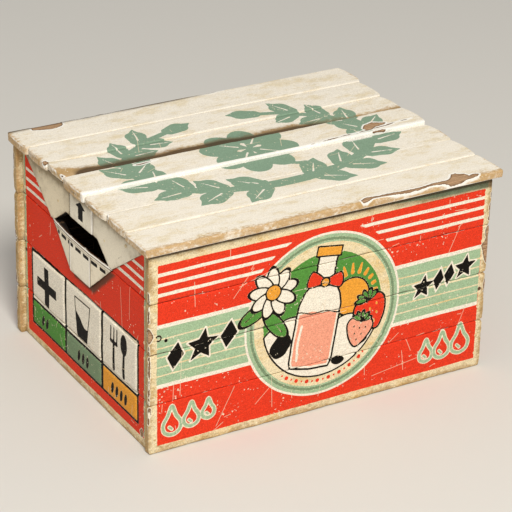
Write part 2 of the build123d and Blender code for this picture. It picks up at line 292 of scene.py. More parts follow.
def badge(c):
    u, v = c.u - BADGE[0], c.v - BADGE[1]
    ring = np.hypot(u, v)
    for coat, inside in (("white", ring - BADGE_RADIUS), ("mint", np.abs(ring - 96.9) - 4.9),
                         ("shade", np.abs(ring - 95.8) - 1.7), ("ground", ring - 92.0),
                         ("leaf", ring - FIELD_RADIUS)):
        c.lay(coat, inside)
    # A low sun with rays behind the hill, kept inside the green field.
    for k in range(11):
        c.lay("gold", np.maximum(stroke(u, v, ray(SUN, 4 + 17.2 * k, 31, 42), [2.6, 1.2]), ring - 76))
    c.bordered("gold", np.maximum(disc(u, v, SUN, 24), ring - 76))
    # The hill, snow white with dark hedges.
    hill = outline(u, v, flowing([(-84, -22), (-58, 2), (-30, 4), (2, -14), (34, -8), (62, -18),
                                  (84, -30), (70, -74), (0, -96), (-70, -74)], closed=True))
    hill = np.maximum(hill, ring - FIELD_RADIUS)
    c.lay("black", hill - 1.3)
    c.lay("white", hill + 0.9)
    for at, half_u, half_v, turn in (((-57, -28), 12, 16, -35), ((-36, -56), 9, 6, 10),
                                     ((52, -44), 11, 8, 30), ((22, -66), 8, 5, -10)):
        spot = oval(u, v, at, half_u, half_v, turn) + 1.2 * wander(u, v, 9, 9, 40)
        c.lay("black", np.maximum(spot, ring - 78))
    # The bottle, leaning a little, with milk to a wavy line, a cap and a ribbon with a bow.
    a, b = turned(u, v, (-8, -6), -9)
    half = [(0, 88), (13, 88), (14.5, 83), (12, 78), (12, 62), (14, 50), (24, 34), (28.5, 20),
            (29, -20), (29, -52), (26, -60), (0, -62)]
    glass = outline(a, b, [*half, *[(-x, y) for x, y in reversed(half[1:-1])]])
    wave = np.sin(a / 5.5)
    c.bordered("white", glass, 1.6)
    c.lay("blush", np.maximum(glass + 3.2, block(a, b, -30, 30, -60, 10) + 1.6 * wave))
    c.lay("white", stroke(a, b, flowing([(-20, -6), (-21, -30), (-19, -50)]), 1.6))
    c.lay("black", np.maximum(glass + 1.0, np.abs(b - 10 - 1.4 * wave) - 0.9))
    c.bordered("gold", block(a, b, -15.5, 15.5, 82, 92) - 1.0)
    c.bordered("red", np.maximum(block(a, b, -18, 18, 44, 54), glass - 2.0))
    for loop in ([(2, 49), (-16, 62), (-22, 52), (-20, 42)], [(2, 49), (20, 60), (26, 50), (22, 41)]):
        c.bordered("red", outline(a, b, flowing(loop, closed=True)))
    c.bordered("gold", disc(a, b, (2, 48), 5.6))
    c.lay("black", stroke(a, b, [(-2, 47), (6, 47)], 0.7))
    # A big daisy that breaks out over the rings on the left, with two leaves.
    for at, half_u, turn in (((-64, 2), 24, 128), ((-92, 22), 22, 30)):
        c.bordered("leaf", oval(u, v, at, half_u, 9, turn))
        c.lay("black", stroke(u, v, ray(at, turn, -14, 0), [0.8, 0.3]))
    for turn in range(12, 372, 40):
        c.bordered("white", oval(u, v, ray(DAISY, turn, 17)[0], 15, 7.6, turn))
    c.bordered("gold", disc(u, v, DAISY, 9.5))
    for k in range(6):
        c.lay("black", disc(u, v, ray(DAISY, 60.16 * k, 4.6)[0], 0.8))
    # Two strawberries on the right, one over the ring.
    for coat, pips, at, size, turn in (("red", "gold", (66, -12), 1.0, 20),
                                       ("blush", "black", (50, -34), 0.82, -14)):
        p, q = (x / size for x in turned(u, v, at, turn))
        fruit = outline(p, q, flowing([(0, 17), (15, 19), (22, 8), (14, -12), (0, -25), (-14, -12),
                                       (-22, 8), (-15, 19)], closed=True)) * size
        c.bordered(coat, fruit, 1.5)
        for pip in ((-10, 6), (0, 4), (10, 6), (-6, -5), (6, -5), (0, -14)):
            c.lay(pips, oval(p, q, pip, 1.3, 2.0) * size)
        for turn in range(18, 198, 36):
            tip = ray((0, 18), turn, 8.25)[0][0], ray((0, 18), turn, 5)[0][1]
            c.bordered("leaf", oval(p, q, tip, 8, 3.4, turn) * size, 1.0)
    # A row of little red beads round the foot of the inner ring.
    for k in range(17):
        c.lay("red", disc(u, v, ray((0, 0), 5 * k - 128, 86)[0], 2.6 if k % 2 else 1.4))


print("badge middle", BADGE, "outer ring radius", BADGE_RADIUS, "mm")

# %% [markdown]
# ## The front
# Round the badge: a red field with three pale pinstripes, and a mint band with fine cream
# lines through the middle. Black stars and diamonds stand on the band, and outlined drops
# of milk on the red below, all of them stock stencils.

# %% Front pattern
PINSTRIPES = (227, 214, 202)        # their middles above the ground
LEAN = 0.18                         # how far marks lean, like italic letters


def star(u, v, at, size, lean=LEAN):
    """A five-pointed star."""
    tips = [ray(at, 90 - 36 * k, size * (1 if k % 2 == 0 else 0.45))[0] for k in range(10)]
    return outline(u - lean * (v - at[1]), v, tips)


def diamond(u, v, at, half_u, half_v, lean=LEAN):
    a, b = np.abs(u - lean * (v - at[1]) - at[0]), np.abs(v - at[1])
    return (a / half_u + b / half_v - 1) * min(half_u, half_v) * 0.8


def drop(u, v, at, size):
    half = [(0, 1.1), (0.28, 0.45), (0.6, -0.1), (0.5, -0.62), (0, -0.85)]
    points = half + [(-a, b) for a, b in reversed(half[1:-1])]
    return outline(u, v, flowing([(at[0] + a * size, at[1] + b * size) for a, b in points], closed=True))


def pinstripes(c, left, right, middles=PINSTRIPES):
    """Three pale stripes 4 mm wide, as one distance."""
    return np.minimum.reduce([block(c.u, c.v, left, right, middle - 2, middle + 2)
                              for middle in middles])


def mint_band(c, half):
    """The mint band between two pale lines, with five hairlines along it."""
    hairlines = [("ground", middle - 0.9, middle + 0.9) for middle in (147, 136, 124.5, 112, 100.5)]
    for coat, low, high in (("white", 84.5, 165), ("mint", 89.3, 160.2), *hairlines):
        c.lay(coat, block(c.u, c.v, -half, half, low, high))


def front_pattern(c):
    c.v = c.v - 0.005 * c.u         # the stencils were taped on a little askew
    u, v = c.u, c.v
    c.lay("red", block(u, v, -217, 218.5, 11, 238.5))
    c.lay("mint", outline(u, v, [(64, 249), (150, 241.5), (222, 239.8), (222, 262), (64, 262)]))
    c.lay("white", np.maximum(pinstripes(c, -217, 218.5, (227, 214.3, 201.7)), -disc(u, v, BADGE, 112)))
    mint_band(c, 217.7)
    marks = [star(u, v, at, size) for at, size in (((-160, 127), 21), ((137, 128), 16), ((196, 141), 16))]
    marks += [diamond(u, v, at, half_u, half_v) for at, half_u, half_v in
              (((-194, 122), 11, 17), ((-126, 132), 11, 17),
               ((159, 133), 7.5, 14), ((174, 136.5), 7.5, 14))]
    marks = np.minimum.reduce(marks)
    c.lay("white", marks - 1.7)
    c.lay("black", marks)
    for at, size in (((-198, 37), 19), ((-173, 39), 16), ((-151, 41), 13),
                     ((147, 38), 15), ((170, 40), 18), ((196, 42), 20)):
        shape = drop(u, v, at, size)
        gleam = stroke(u, v, [(at[0] - 0.2 * size, at[1] - 0.3 * size), (at[0], at[1] - 0.5 * size)], 1.2)
        for coat, half in (("white", 2.9), ("mint", 1.9)):
            c.lay(coat, np.minimum(np.abs(shape) - half, gleam - half + 1.9))
    c.lay("black", disc(u, v, (-206.2, 144.2), 2.3))
    c.lay("black", np.abs(disc(u, v, (-215.6, 149.0), 3.2)) - 1.0)
    badge(c)


print("front: red field 435 by 227 mm, band 89.5 to 160 mm up")

# %% [markdown]
# ## The ends and the back
# The left end has the note chute at the top, so its decoration is a panel of three plain
# pictograms below: a cross, a tumbler, and a fork and spoon, each over a coloured tab. The
# right end repeats the field and stripes with a big star, and the back is plain.

# %% End and back patterns
CELLS = ((-137.4, -49.5, "leaf"), (-44.0, 46.6, "shade"), (52.1, 137.4, "gold"))     # left, right, tab
CELL_ROWS = ((60.6, 126.2), (27.4, 57.4))       # the pictograms, and the tabs under them


def panel_tilt(u, v):
    """The panel was painted with its top edge running uphill."""
    return 0.022 * u * np.clip((v - 24) / 104, 0, 1)


def left_pattern(c):
    u, v = c.u, c.v
    c.lay("red", block(u, v - 0.011 * u, -154, 154, 10.8, 250))
    c.lay("white", pinstripes(c, -152, 152))
    c.lay("mint", block(np.abs(u), v, 154.4, 157.6, 16, 246))
    v = v - panel_tilt(u, v)
    c.lay("black", block(u, v, -141.2, 141.2, 24.2, 129.2))
    for left, right, tab in CELLS:
        for (low, high), coat in zip(CELL_ROWS, ("white", tab)):
            c.lay(coat, block(u, v, left, right, low, high))
        top = CELL_ROWS[0][1]
        # Painted highlight: a bright strip along the top of each cell.
        c.lay("chalk", block(u, v, left, right, top - 3.4, top) + 0.8 * wander(u, v, 14, 9, 33))
    cross = [block(u, v, -97 - a, -97 + a, 92 - b, 92 + b) for a, b in ((26.5, 6.2), (6.2, 26.5))]
    glass = outline(u, v, [(-21.3, 117.2), (21.3, 117.2), (13.0, 65.5), (-13.5, 65.5)])
    milk = flowing([(-24, 122), (24, 122), (22, 92), (8, 84), (-6, 93), (-24, 104)], closed=True)
    c.lay("black", np.minimum.reduce([*cross, glass]))
    c.lay("white", np.maximum(glass + 2.0, outline(u, v, milk)))
    cutlery = [stroke(u, v, [(81.5, 68), (81.5, 98)], [3.1, 2.4]),
               stroke(u, v, [(74, 101), (89, 101)], 2.5),
               *[stroke(u, v, [(x, 101), (x, 119)], [1.6, 1.3]) for x in (73.8, 81.5, 89.2)],
               stroke(u, v, [(106.5, 68), (106.5, 100)], [3.1, 2.4]),
               oval(u, v, (106.5, 108), 8.4, 13)]
    beads = [oval(u, v, (start + 11 * k, 41), 3.4, 8.0, -12)
             for start, count in ((-108, 2), (-10, 3), (78, 4)) for k in range(count)]
    c.lay("black", np.minimum.reduce(cutlery + beads))


def cell_relief(u, v):
    """The panel's cells stand 1.4 mm proud, with bevels 2 mm wide."""
    v = v - panel_tilt(u, v)
    inside = np.minimum.reduce([block(u, v, left, right, low, high)
                                for left, right, _ in CELLS for low, high in CELL_ROWS])
    return 1.4 * np.clip(-inside / 2.0, 0, 1)


def right_pattern(c):
    u, v = c.u, c.v
    c.lay("red", block(u, v, -154, 154, 13, 240))
    c.lay("white", pinstripes(c, -154, 154))
    mint_band(c, 154)
    from_middle = np.hypot(u, v - 126)
    for coat, inside in (("white", from_middle - 62), ("mint", np.abs(from_middle - 56) - 2.6),
                         ("leaf", from_middle - 47)):
        c.lay(coat, inside)
    c.bordered("white", star(u, v, (0, 124), 38, lean=0))
    for at, half_u, half_v in ((92, 9, 16), (116, 6, 11)):
        c.lay("black", diamond(np.abs(u), v, (at, 126), half_u, half_v, lean=0))


def back_pattern(c):
    c.lay("red", block(c.u, c.v, -217, 217, 11, 223))
    mint_band(c, 217)


print("three pictograms over green, grey and orange tabs")

# %% [markdown]
# ## The lid
# Faded green brushwork fills the whitewashed lid: two laurel branches round a four-leaf
# clover, in strokes as broad as a sign painter's brush. A branch is an arc with a pair of
# leaves at every step, and one side is the mirror of the other.

# %% Lid pattern
WREATH = (-2.0, 4.0)                # its middle
WREATH_HALF = (158.0, 98.0)         # from its middle to the stems, along and across


def leaf_shape(u, v, at, degrees, half, width):
    """A leaf from a brush: thin at its foot, fullest past the middle, and pointed."""
    line = ray(at, degrees, *[s * half for s in (0, 0.45, 1.1, 2)])
    return stroke(u, v, line, [1.5, width * 0.8, width, 0.4])


def lid_pattern(c):
    v = c.v - WREATH[1]
    for side in (-1, 1):
        u = (c.u - WREATH[0]) * side
        stem = [(WREATH_HALF[0] * math.cos(a), WREATH_HALF[1] * math.sin(a))
                for a in np.radians(np.arange(-97, 66, 9))]
        heading = [math.atan2(b[1] - a[1], b[0] - a[0]) for a, b in zip(stem, stem[1:])]
        c.lay("leaf", stroke(u, v, stem, np.linspace(9, 4.5, len(stem))))
        for k, (a, along) in enumerate(zip(stem[2:-1:2], heading[2::2])):
            for lean, half in ((-0.75, 27), (0.75, 25)):
                size = 1.0 - 0.025 * k + 0.06 * math.sin(3.1 * k + 2 * lean + side)
                turn = math.degrees(along + lean + 0.12 * math.sin(5.3 * k + side))
                c.lay("leaf", leaf_shape(u, v, a, turn, half * size, 15.5 * size))
                c.lay("ground", stroke(u, v, ray(a, turn, 0.5 * half, 1.5 * half), [1.2, 0.5]))
        c.lay("leaf", leaf_shape(u, v, stem[-1], math.degrees(heading[-1]), 22, 13))
    u = c.u - WREATH[0]
    c.lay("leaf", stroke(u, v, flowing([(4, -8), (10, -30), (28, -52), (44, -58)]), 4.0))
    for k in range(4):
        a, b = turned(u, v, (0, 0), 52 + 90 * k)
        heart = [oval(a, b, (35, 14 * side), 23, 18, 24 * side) for side in (1, -1)]
        c.lay("leaf", np.minimum.reduce([*heart, stroke(a, b, [(3, 0), (26, 0)], [3.0, 15.0])]))
        c.lay("ground", stroke(a, b, [(14, 0), (36, 0)], [1.3, 0.6]))
    # Painted highlight: a bright band along the front edge of the fourth, proud plank.
    c.lay("chalk", block(c.u, c.v, -240, 240, -23.0, -17.6) + 0.5 * wander(c.u, c.v, 22, 9, 95))


print("a wreath", 2 * WREATH_HALF[0], "by", 2 * WREATH_HALF[1], "mm on the lid")

# %% [markdown]
# ## Sawn planks
# A plank is its section swept along its length. The section is dense on the painted face,
# where the pattern and the chips need it, and sparse behind. Long arrises are knocked
# round, ends are sawn a little ragged, and where paint has come away the surface sinks.
# A mesh written with numpy is the quickest way, because each point can look up its own
# wear, and the stored "board" coordinates let one material run its grain along any plank.

# %% A plank's section
def plank_section(width, thick, step, arris):
    """Points (v, w) round a plank: up the face, over the top, down the back and home.
    v is up the face and w is the depth behind it."""
    face = np.linspace(arris, width - arris, max(4, round((width - 2 * arris) / step)) + 1)
    side = np.linspace(arris, thick - 0.8, max(3, round(thick / 1.6)) + 1)
    back = np.linspace(width - 0.8, 0.8, max(3, round(width / 6)) + 1)
    turn = np.radians([22.5, 45.0, 67.5])
    over = [(width - arris + arris * math.sin(t), arris - arris * math.cos(t)) for t in turn]
    under = [(width - v, w) for v, w in reversed(over)]
    section = [(v, 0.0) for v in face] + over + [(width, w) for w in side]
    section += [(v, thick) for v in back] + [(0.0, w) for w in side[::-1]] + under
    return np.array(section)


print("points in a front plank's section:", len(plank_section(63.05, 9.5, 1.25, 1.3)))

# %% Sweep a plank
END_INSETS = (0.75, 0.5, 0.25)      # rings inside each end, as shares of the way to the middle
ARRIS = 1.3                         # how far the long arrises are rounded


def nowhere(*place):
    return 0.0


WEAR = {"chips": (), "soot": nowhere, "lift": nowhere, "relief": nowhere,
        "end_shape": ((0, 0), (0, 0)),      # how far each end is bowed and skewed, left and right
        "corner": 1.6, "knock": 1.0,        # how badly corners and arrises are knocked
        "edge_kept": 1.9, "end_kept": 1.0,  # how far the paint holds out towards edges and ends
        "paint_wraps": 3.0, "wrap_pull": 1.0, "ear": 4.0,   # how far it goes round, and round the ends
        # how dark the painted shade on the plank sides in the seams is
        "seam_soot": 0.7}


def sawn_plank(name, place, span, rise, thick, step, pattern, wear):
    """One board: place is (origin, along, up, out), span and rise are its limits along and up."""
    wear = {**WEAR, **wear}
    width, length = rise[1] - rise[0], span[1] - span[0]
    section = plank_section(width, thick, step, ARRIS)
    inner = np.linspace(2.4, length - 2.4, max(4, round(length / step)))
    near_end = np.array([0, 0, 0, 0, 0.25, 0.7, 1.4])
    stations = np.concatenate([near_end, inner, length - near_end[::-1]])
    inset = np.zeros((len(stations), 1))
    inset[:3, 0], inset[-3:, 0] = END_INSETS, END_INSETS[::-1]
    U, V = np.meshgrid(stations, section[:, 0], indexing="ij")
    V = width / 2 + (V - width / 2) * (1 - inset * thick / width)
    W = thick / 2 + (section[:, 1] - thick / 2) * (1 - inset)
    u, v = U + span[0], V + rise[0]
    seed = sum(ord(letter) for letter in name) * 7

    # Ends: the saw wandered, and the corners at the seams are knocked off.
    to_low, to_high = V, width - V
    for end, sign, far in ((0, 1, U), (1, -1, length - U)):
        bow, skew = wear["end_shape"][end]
        bite = 0.45 + 0.4 * wander(V, W, 9, 5, seed + end)
        bite = bite + bow * (V / width - 0.5) ** 2 * 4 + skew * (V / width) ** 4
        chance = wear["corner"] * (0.8 + 0.7 * wander(V, W, 4, 9, seed + end + 5))
        bite = bite + chance * (np.exp(-to_low / 2.4) + np.exp(-to_high / 2.4))
        u = u + sign * np.maximum(bite, 0) * np.exp(-far / 8)

    # Long arrises: knocked round by different amounts along the plank.
    worn = []
    for k, edge in ((0, to_low), (1, to_high)):
        knock = 0.35 + 0.75 * wander(u, 0 * u, 31, 9, seed + 11 + k)
        knock = knock + 0.5 * wander(u, 0 * u, 7, 9, seed + 13 + k)
        worn.append(np.clip(knock, 0.05, 1.6) * wear["knock"])
        near = np.exp(-(edge + W) / 1.5) * worn[k]
        V = V + near * (1 - 2 * k)
        W = W + near * 0.9
    v = V + rise[0]

    # Where wood shows: bites along the edges, listed chips, and the back, where the
    # brush only went round the ends.
    to_end = np.minimum(U, length - U)
    grain = ragged(u, v + 1.7 * W, seed + 20)
    edge = np.minimum(to_low, to_high) + 0.8 * W
    far = np.minimum(u - span[0], span[1] - u) + 0.6 * W
    knocked = np.where(to_low < to_high, 1.3 * worn[0], 0.9 * worn[1])
    bare = np.minimum(edge + wear["edge_kept"] - grain - knocked,
                      far + wear["end_kept"] - 1.5 * grain)
    for chip_at in wear["chips"]:
        bare = np.minimum(bare, chip_at(u, v) + 1.5 * grain + 0.5 * W)
    wraps = wear["paint_wraps"] + (thick + 4) * ease((wear["ear"] + 3 - to_end) / 3)
    pull = wear["wrap_pull"]
    bare = np.minimum(bare, pull * (wraps - W) + (2.0 if pull == 1 else 0.8) * grain)
    depth = 0.55 * ease(-bare / 1.6) * (W < thick - 1.5)

    # Rounded ends and the slow unevenness of an old board.
    shrink = 1.4 - np.sqrt(np.clip(1.4 ** 2 - (1.4 - np.clip(to_end, 0, 1.4)) ** 2, 0, None))
    V = width / 2 + (V - width / 2) * (1 - 2 * shrink / width)
    W = thick / 2 + (W - thick / 2) * (1 - 2 * shrink / thick)
    W = W + (0.16 * wander(u, v, 60, 22, seed + 30) + 0.07 * wander(u, v, 30, 3.5, seed + 31)
             + 0.1 * grain * ease(-bare)) * (W < thick / 2)
    on_face = np.exp(-W / 1.2)
    W = W + depth * on_face
    V = V + depth * (1 - on_face) * np.where(to_low < to_high, 1, -1)
    W = W - wear["lift"](u)
    W = W - wear["relief"](u, v) * on_face

    # The coats of paint, the yellow dirt along outer edges, and painted shade in corners and seams.
    v = V + rise[0]
    paint = Coats(u, np.clip(V, 0, width) + rise[0])
    pattern(paint)
    seams = wear["seam_soot"] * ease((W - 0.8) / 3) * np.exp(-edge / 9) * (to_end > 6)
    numbers = {"bare": bare, "grime": wear["grime"](u, v, W), **wear["scores"](u, v),
               "soot": np.maximum(wear["soot"](u, v, W), seams),
               **{"coat_" + coat: depth for coat, depth in paint.depth.items()}}
    return close_board(name, place, np.stack([u, v, W], -1), numbers, seed)

# %% Close a plank's ends and store what was worked out
def close_board(name, place, board, numbers, seed):
    """Turn rings of board coordinates (along, up, depth) into a closed mesh in its place."""
    origin, along, up, out = (np.array(a, float) for a in place)
    rings, around = board.shape[:2]
    world = origin + board @ np.array([along, up, -out])
    k, j = np.meshgrid(np.arange(rings - 1), np.arange(around), indexing="ij")
    after = (j + 1) % around
    quads = np.stack([k * around + j, (k + 1) * around + j,
                      (k + 1) * around + after, k * around + after], -1).reshape(-1, 4)
    last = (rings - 1) * around
    ends = [list(range(around)), list(range(last + around - 1, last - 1, -1))]
    mesh = new_mesh(name, world.reshape(-1, 3) * MM, quads.tolist() + ends)
    mesh.shade_smooth()
    slip = np.random.default_rng(seed).uniform(0, 900, 3)
    store(mesh, board=board.reshape(-1, 3) + slip,
          **{key: value.reshape(-1) for key, value in numbers.items()})
    return in_scene(name, mesh)


def new_mesh(name, points, faces=()):
    mesh = bpy.data.meshes.new(name)
    mesh.from_pydata(np.array(points).tolist(), [], list(faces))
    return mesh


def store(mesh, **layers):
    """Keep numbers, or vectors, for each point of a mesh."""
    for name, values in layers.items():
        kind, field = ("FLOAT_VECTOR", "vector") if values.ndim == 2 else ("FLOAT", "value")
        layer = mesh.attributes.new(name, kind, "POINT")
        layer.data.foreach_set(field, values.astype(np.float32).ravel())


def in_scene(name, data):
    made = bpy.data.objects.new(name, data)
    bpy.context.scene.collection.objects.link(made)
    return made


def made_plain(made):
    """Keep what an object's modifier makes as its mesh, and drop the modifier."""
    bpy.context.view_layer.update()
    before = made.data
    evaluated = made.evaluated_get(bpy.context.evaluated_depsgraph_get())
    made.data = bpy.data.meshes.new_from_object(evaluated)
    made.modifiers.clear()
    bpy.data.meshes.remove(before)
    made.data.name = made.name


def put_in_place(made, cad_names, finish_name, body):
    """A finished piece takes its CAD nodes' place, with its material, on its body."""
    if not made.data.materials:
        made.data.materials.append(finishes[finish_name])
    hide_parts(*cad_names)
    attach(made, body)

# %% [markdown]
# ## Scores
# Scratches are thinner than the mesh is fine, so a plain distance would lose them between
# points. Two numbers keep them: how far a point lies to one side of the nearest scratch,
# signed, which crosses zero exactly on the line, and how far it is from the scratch as a
# whole, which says where the line stops.

# %% Scratches
def scratches(seed, area, count, placed=()):
    """Scratch lines in an area (left, right, low, high), most of them steep and short."""
    chance = np.random.default_rng(seed)
    lines = [((au, av), (bu, bv)) for au, av, bu, bv in placed]
    for _ in range(count):
        middle = chance.uniform(area[0], area[1]), chance.uniform(area[2], area[3])
        turn = chance.choice([chance.uniform(78, 100), chance.uniform(20, 75), chance.uniform(-8, 14)])
        half = chance.choice([2, 3, 4.5, 8]) * chance.uniform(0.7, 1.3)
        lines.append(ray(middle, turn, -half, half))

    def measure(u, v):
        side, near = np.full(u.shape, 9.0), np.full(u.shape, 9.0)
        for start, end in lines:
            gap = nearest_on(u, v, start, end)[1]
            (du, dv), long = np.subtract(end, start), math.dist(start, end)
            side = np.where(gap < near, ((v - start[1]) * du - (u - start[0]) * dv) / long, side)
            near = np.minimum(gap, near)
        return {"score_side": side, "score_near": near}

    return measure


def chip(*points):
    """A chip in the paint."""
    return lambda u, v: outline(u, v, points)


def splinter(points, widths):
    """A long thin chip along a line."""
    return lambda u, v: stroke(u, v, points, widths)


print("scratches are stored as side and nearness")

# %% [markdown]
# ## Painted pine, weathered
# House paint on softwood goes dull and chalky: roughness about 0.6, no metal, and a
# default IOR near 1.5. The eye reads it by its layers. From the bottom: pinkish-brown
# wood with grain in streaks a millimetre wide and several centimetres long, a cream
# ground that has yellowed in patches, flat stencil coats, pin-head flecks where a coat
# has popped off, pale scratches, and a bright rim where paint is broken round a chip.

# %% A material for painted boards
COLOURS = {"red": "#e63d22", "mint": "#a5c09b", "shade": "#7d9473", "leaf": "#55913f", "black": "#120f0b",
           "white": "#f3ebda", "gold": "#eda33a", "blush": "#f3a488", "chalk": "#fbf3df"}


def painted_board(name, ground, yellowed, coats, fade, flecks, dirt, soot, rim_reach, grain,
                  colours=COLOURS):
    """Weathered paint over wood, read from what the planks store."""
    finish, node = new_finish(name)
    keys = ["bare", "grime", "soot", "score_side", "score_near", *["coat_" + coat for coat in coats]]
    stored = {key: node("Attribute " + key, out="Fac") for key in keys}
    board = node("Attribute board", out="Vector")
    noise = {}
    for key, size, detail, rough in (("fibre", (34, 1.1, 1.1), 4, 0.65),
                                     ("stain", (44, 19, 19), 5, 0.62),
                                     ("blotch", (26, 26, 26), 3, 0.5),
                                     ("mottle", (6, 3.5, 3.5), 4, 0.62),
                                     ("crowd", (38, 38, 38), 2, 0.5),
                                     ("tooth", (1.5, 1.5, 1.5), 2, 0.7)):
        place = node("Mapping", board, Scale=tuple(1 / s for s in size))
        noise[key] = node("TexNoise", place, 1.0, detail, rough)
    tooth, fibre = noise["tooth"], noise["fibre"]
    # The ground yellows in drifts along the grain and browns in mottles where dirt and painted shade are
    # stored.
    drift = node("Math MULTIPLY_ADD", noise["mottle"], 0.35, noise["stain"])
    dirt_and_shade = stored["grime"]
    for key, share, shift in (("blotch", 1.3, -0.55), ("mottle", 1.6, -0.82)):
        dirt_and_shade = node("Math ADD", dirt_and_shade, node("Math MULTIPLY_ADD", noise[key], share, shift))
    dirt_and_shade = node("MapRange SMOOTHSTEP", dirt_and_shade, 0.35, 1.2, 0.0, 0.75)
    layers = [(node("MapRange SMOOTHSTEP", drift, 0.62, 0.9), yellowed), (dirt_and_shade, dirt)]
    # Stencil coats, each with a slightly woolly edge; dirt and painted shade dull them in drifts.
    woolly = node("Math MULTIPLY_ADD", tooth, 0.9, -0.45)
    for coat in coats:
        edge = node("Math ADD", woolly, stored["coat_" + coat])
        layers.append((node("MapRange", edge, 0.15, -0.15, 0.0, fade), colours[coat]))
    layers.append((node("MapRange SMOOTHSTEP", dirt_and_shade, 0.0, 0.75, 0.0, 0.28), "#a87a45"))
    # Flecks: cells 2.5 mm across, some of which have lost a torn bit of paint, in clusters.
    torn = node("TexNoise", board, 1 / 1.7, 2.0, out="Color")
    torn = node("VectorMath MULTIPLY_ADD", torn, (4.5, 4.5, 4.5), board)
    cells = node("TexVoronoi", torn, 1 / 2.5).node.outputs
    size = node("Math MULTIPLY_ADD", noise["crowd"], 0.85, node("SeparateColor", cells["Color"]))
    size = node("MapRange", size, 1.32 - 0.1 * flecks, 1.54 - 0.1 * flecks, 0.0, 0.48)
    fleck = node("MapRange", node("Math SUBTRACT", size, cells["Distance"]), 0.0, 0.08, 0.0, 0.85)
    # Scratches about half a millimetre wide, broken up by the tooth of the paint.
    across = node("Math MULTIPLY_ADD", tooth, 0.7, node("Math ABSOLUTE", stored["score_side"]))
    score = node("Math MULTIPLY", node("MapRange", across, 0.85, 0.5),
                 node("MapRange", stored["score_near"], 2.2, 1.4, 0.0, 0.75))
    # Bare wood in a pale broken rim of paint, with dirt caught along the inside of the rim; the
    # wide pale rim along the lid's arrises is partly a painted highlight.
    break_line = node("Math MULTIPLY_ADD", tooth, 1.2, -0.6)
    break_line = node("Math ADD", break_line, stored["bare"])
    rim, caught, gone = (node("MapRange", break_line, none, full, 0.0, most) for none, full, most in
                         ((rim_reach, rim_reach * 0.6, 0.9), (-1.7, -0.3, 0.78), (0.12, -0.12, 1.0)))
    wood = layered(node, card("#8d6b4f"), [(node("MapRange", fibre, 0.36, 0.66), "#d3b08c"),
                                           (caught, "#553b27")])
    # Painted shade in seams, under the lid, under the pocket and by the proud lid plank; dark dirt on the
    # back arris.
    dark_with_painted_shade = node("Math ADD", node("Math MULTIPLY_ADD", noise["blotch"], 0.6, -0.3), stored["soot"])
    dark_with_painted_shade = node("Math MULTIPLY", node("MapRange", dark_with_painted_shade, 0.12, 0.9, 0.0, 0.88),
                 node("MapRange", stored["soot"], 0.0, 0.2))
    layers += [(fleck, "#f3e6cc"), (score, "#f2dfc0"), (rim, colours["chalk"]), (gone, wood),
               (dark_with_painted_shade, soot)]
    colour = layered(node, card(ground), layers)
    # The chalky tooth of old paint: small light and dark grains.
    value = node("Math MULTIPLY", node("MapRange", tooth, 0.3, 0.7, *grain),
                 node("MapRange", fibre, 0.3, 0.7, 0.94, 1.03))
    rough = node("Math MULTIPLY_ADD", gone, 0.2, node("MapRange", tooth, 0.3, 0.7, 0.52, 0.7))
    # Relief: the wood's grain through the paint, popped flecks, scratches and broken rims.
    relief = node("Math MULTIPLY_ADD", tooth, 0.3, fibre)
    for dent, deep in ((fleck, -0.8), (score, -0.4), (rim, 0.8), (gone, -1.2)):
        relief = node("Math MULTIPLY_ADD", dent, deep, relief)
    surfaced(node, relief, 0.55, 0.25, Base_Color=node("VectorMath SCALE", colour, value),
             Roughness=rough, Specular_IOR_Level=0.1)
    return finish


# The last, darkest colour paints the stored painted shade; on the lid's back arris it is dark dirt.
painted_pine = painted_board("painted_pine", "#ecdcb6", "#e2c58a", COATS, fade=1.0, flecks=0.3,
                             dirt="#b0905c", soot="#4f402e", rim_reach=1.0, grain=(0.71, 1.18))
painted_board("whitewashed_pine", "#f5eee1", "#e8dabd", ("leaf", "chalk"), fade=0.95, flecks=0.6,
              dirt="#c59d57", soot="#4a3826", rim_reach=2.7, grain=(0.83, 1.09),
              colours={"leaf": "#7f9f87", "chalk": "#fffdf7"})
print("painted_pine has", len(painted_pine.node_tree.nodes), "nodes")

# %% [markdown]
# ## Wear by place
# Knocks are not the same all over. The corner posts' edges, the rim and the foot collect
# them, so each wall names its own chips, dirt and scratches, and its painted shade.

# %% Wear on the front
def dirt_near(**edges):
    """Dirt that fades away from places along u and v, each given as (place, reach in mm)."""
    def measure(u, v, w):
        near = [np.exp(-np.abs(x - place) / reach)
                for axis, x in (("u", u), ("v", v)) for place, reach in edges.get(axis, ())]
        return np.maximum.reduce(near) + 0.25 * ease(w / 2)
    return measure


def front_soot(u, v, w):
    """Painted shade under the lid and more to the right along the rim, and darker at the foot."""
    to_the_right = 0.8 * ease((u - 10) / 190) * ease((v - 236.5) / 5)
    return 1.3 * ease((v - 246.4) / 2.6) + 0.5 * np.exp(-v / 1.6) + to_the_right


